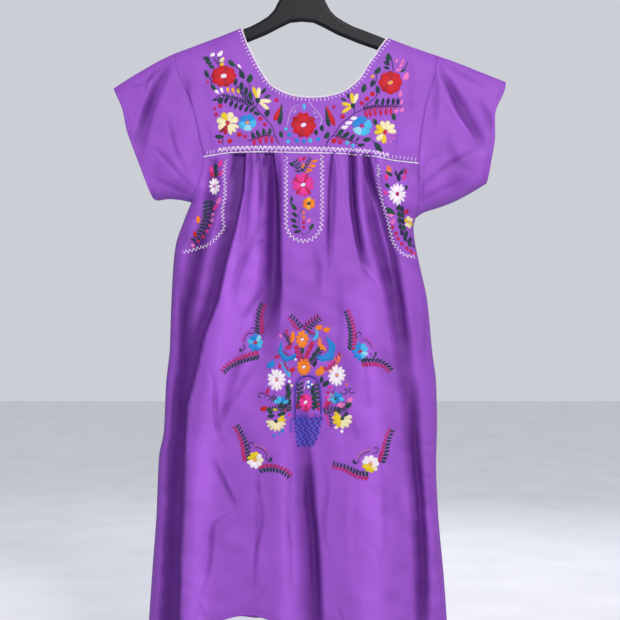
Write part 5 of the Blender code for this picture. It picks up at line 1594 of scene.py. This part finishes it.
studio = {
    "floor": "#EEEFF3", "world": "#E9ECF4", "floorDrop": 1420, "floorReach": 9000, "floorGlow": 0.3,
    "worldLight": 0.36, "backdrop": 0.74,
    # Name, place, aim, size, power and colour.
    "lamps": (
        ("key", (0.8, -2.7, 1.1), (0, 0, -0.62), 0.5, 84, "#FFF7F2"),
        ("fill", (-2.4, -2.4, 0.2), (0, 0, -0.6), 2.2, 9, "#F0F2FF"),
        ("rim", (0.6, 2.4, 0.6), (0, 0, -0.5), 1.6, 22, "#F4F4FF"),
    ),
}


def makeStage():
    pale = hardMaterial("pale_floor", studio["floor"], 0.0, 0.8, 6.0, 0.0001)
    ways, shader = pale.node_tree.nodes.new("ShaderNodeLightPath"), pale.node_tree.nodes["Principled BSDF"]
    glow = addNode(pale.node_tree.nodes, "ShaderNodeMath", ((1, studio["floorGlow"]),), operation="MULTIPLY")
    pale.node_tree.links.new(ways.outputs["Is Camera Ray"], glow.inputs[0])
    pale.node_tree.links.new(glow.outputs[0], shader.inputs["Emission Strength"])
    shader.inputs["Emission Color"].default_value = (*linear(studio["world"]), 1)
    reach, level = studio["floorReach"], -studio["floorDrop"]
    corners = [(x * reach, y * reach, level) for x, y in ((-1, -1), (1, -1), (1, 1), (-1, 1))]
    floor = makeMesh("floor", corners, [(0, 1, 2, 3)], pale)
    world = bpy.data.worlds.new("studio")
    bpy.context.scene.world = world
    world.use_nodes = True
    background = world.node_tree.nodes["Background"]
    background.inputs["Color"].default_value = (*linear(studio["world"]), 1)
    background.inputs["Strength"].default_value = studio["worldLight"]
    # The backdrop looks brighter than the light it gives, so that the folds keep their shade.
    nodes, links = world.node_tree.nodes, world.node_tree.links
    backdrop = addNode(nodes, "ShaderNodeBackground", (("Strength", studio["backdrop"]),))
    backdrop.inputs["Color"].default_value = (*linear(studio["world"]), 1)
    mix, ways = nodes.new("ShaderNodeMixShader"), nodes.new("ShaderNodeLightPath")
    links.new(ways.outputs["Is Camera Ray"], mix.inputs["Fac"])
    links.new(background.outputs[0], mix.inputs[1])
    links.new(backdrop.outputs[0], mix.inputs[2])
    links.new(mix.outputs[0], nodes["World Output"].inputs["Surface"])
    for name, spot, aim, size, power, colour in studio["lamps"]:
        light = bpy.data.lights.new(name, "AREA")
        light.size, light.energy, light.color = size, power, linear(colour)
        lamp = bpy.data.objects.new(name, light)
        lamp.location = spot
        way = np.array(aim) - np.array(spot)
        tilt = math.acos(-way[2] / np.linalg.norm(way))
        lamp.rotation_euler = (tilt, 0, math.atan2(way[1], way[0]) - math.pi / 2)
        bpy.context.scene.collection.objects.link(lamp)
    camera = bpy.data.cameras.new("camera")
    camera.sensor_width = 36
    camera.lens = 36 * photo["distance"] / (photo["side"] * photo["pixel"])
    shot = bpy.data.objects.new("camera", camera)
    middle = onMiddlePlane(photo["side"] / 2, photo["side"] / 2)
    shot.location = (middle[0] * mm, -photo["distance"] * mm, -middle[1] * mm)
    shot.rotation_euler = (math.pi / 2, 0, 0)
    bpy.context.scene.collection.objects.link(shot)
    bpy.context.scene.camera = shot
    bpy.context.scene.view_settings.view_transform = "Standard"


def paint(node, material):
    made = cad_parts[node]
    made.data.materials.clear()
    made.data.materials.append(material)


print("stage and hanger")
makeStage()
paint("hanger_body", hardMaterial(
    "moulded_plastic", hangerLook["plastic"], 0.0, hangerLook["plasticRoughness"], 420.0, 0.00006))
paint("hanger_hook", hardMaterial(
    "bright_wire", hangerLook["wire"], 1.0, hangerLook["wireRoughness"], 260.0, 0.00002))

print("cloth")
cotton = clothMaterial()
sheets = makeCloth(cotton)
for node, cloth in sheets.items():
    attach(cloth, "root")
    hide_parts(node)

print("neck edging")
edging = makeEdging(edgingMaterial())
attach(edging, "root")
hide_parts("neck_edging")

print("embroidery")
bar = barMesh()
tree = stitchTree()
threads = threadMaterial()
hems = Sewing()
sewHems(hems, True)
for name, sewing in (
    ("yoke_embroidery", sewYoke()), ("centre_strip_embroidery", sewCentreStrip()),
    ("side_panel_embroidery", sewSidePanels()), ("basket_embroidery", sewBasket()),
    ("corner_embroidery", sewCorners()), ("white_stitching", sewWhite()),
    ("front_hem_stitching", hems), ("back_stitching", sewBack()),
):
    made = sewing.make(name, threads, tree, bar)
    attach(made, "root")
bpy.data.objects.remove(bar)
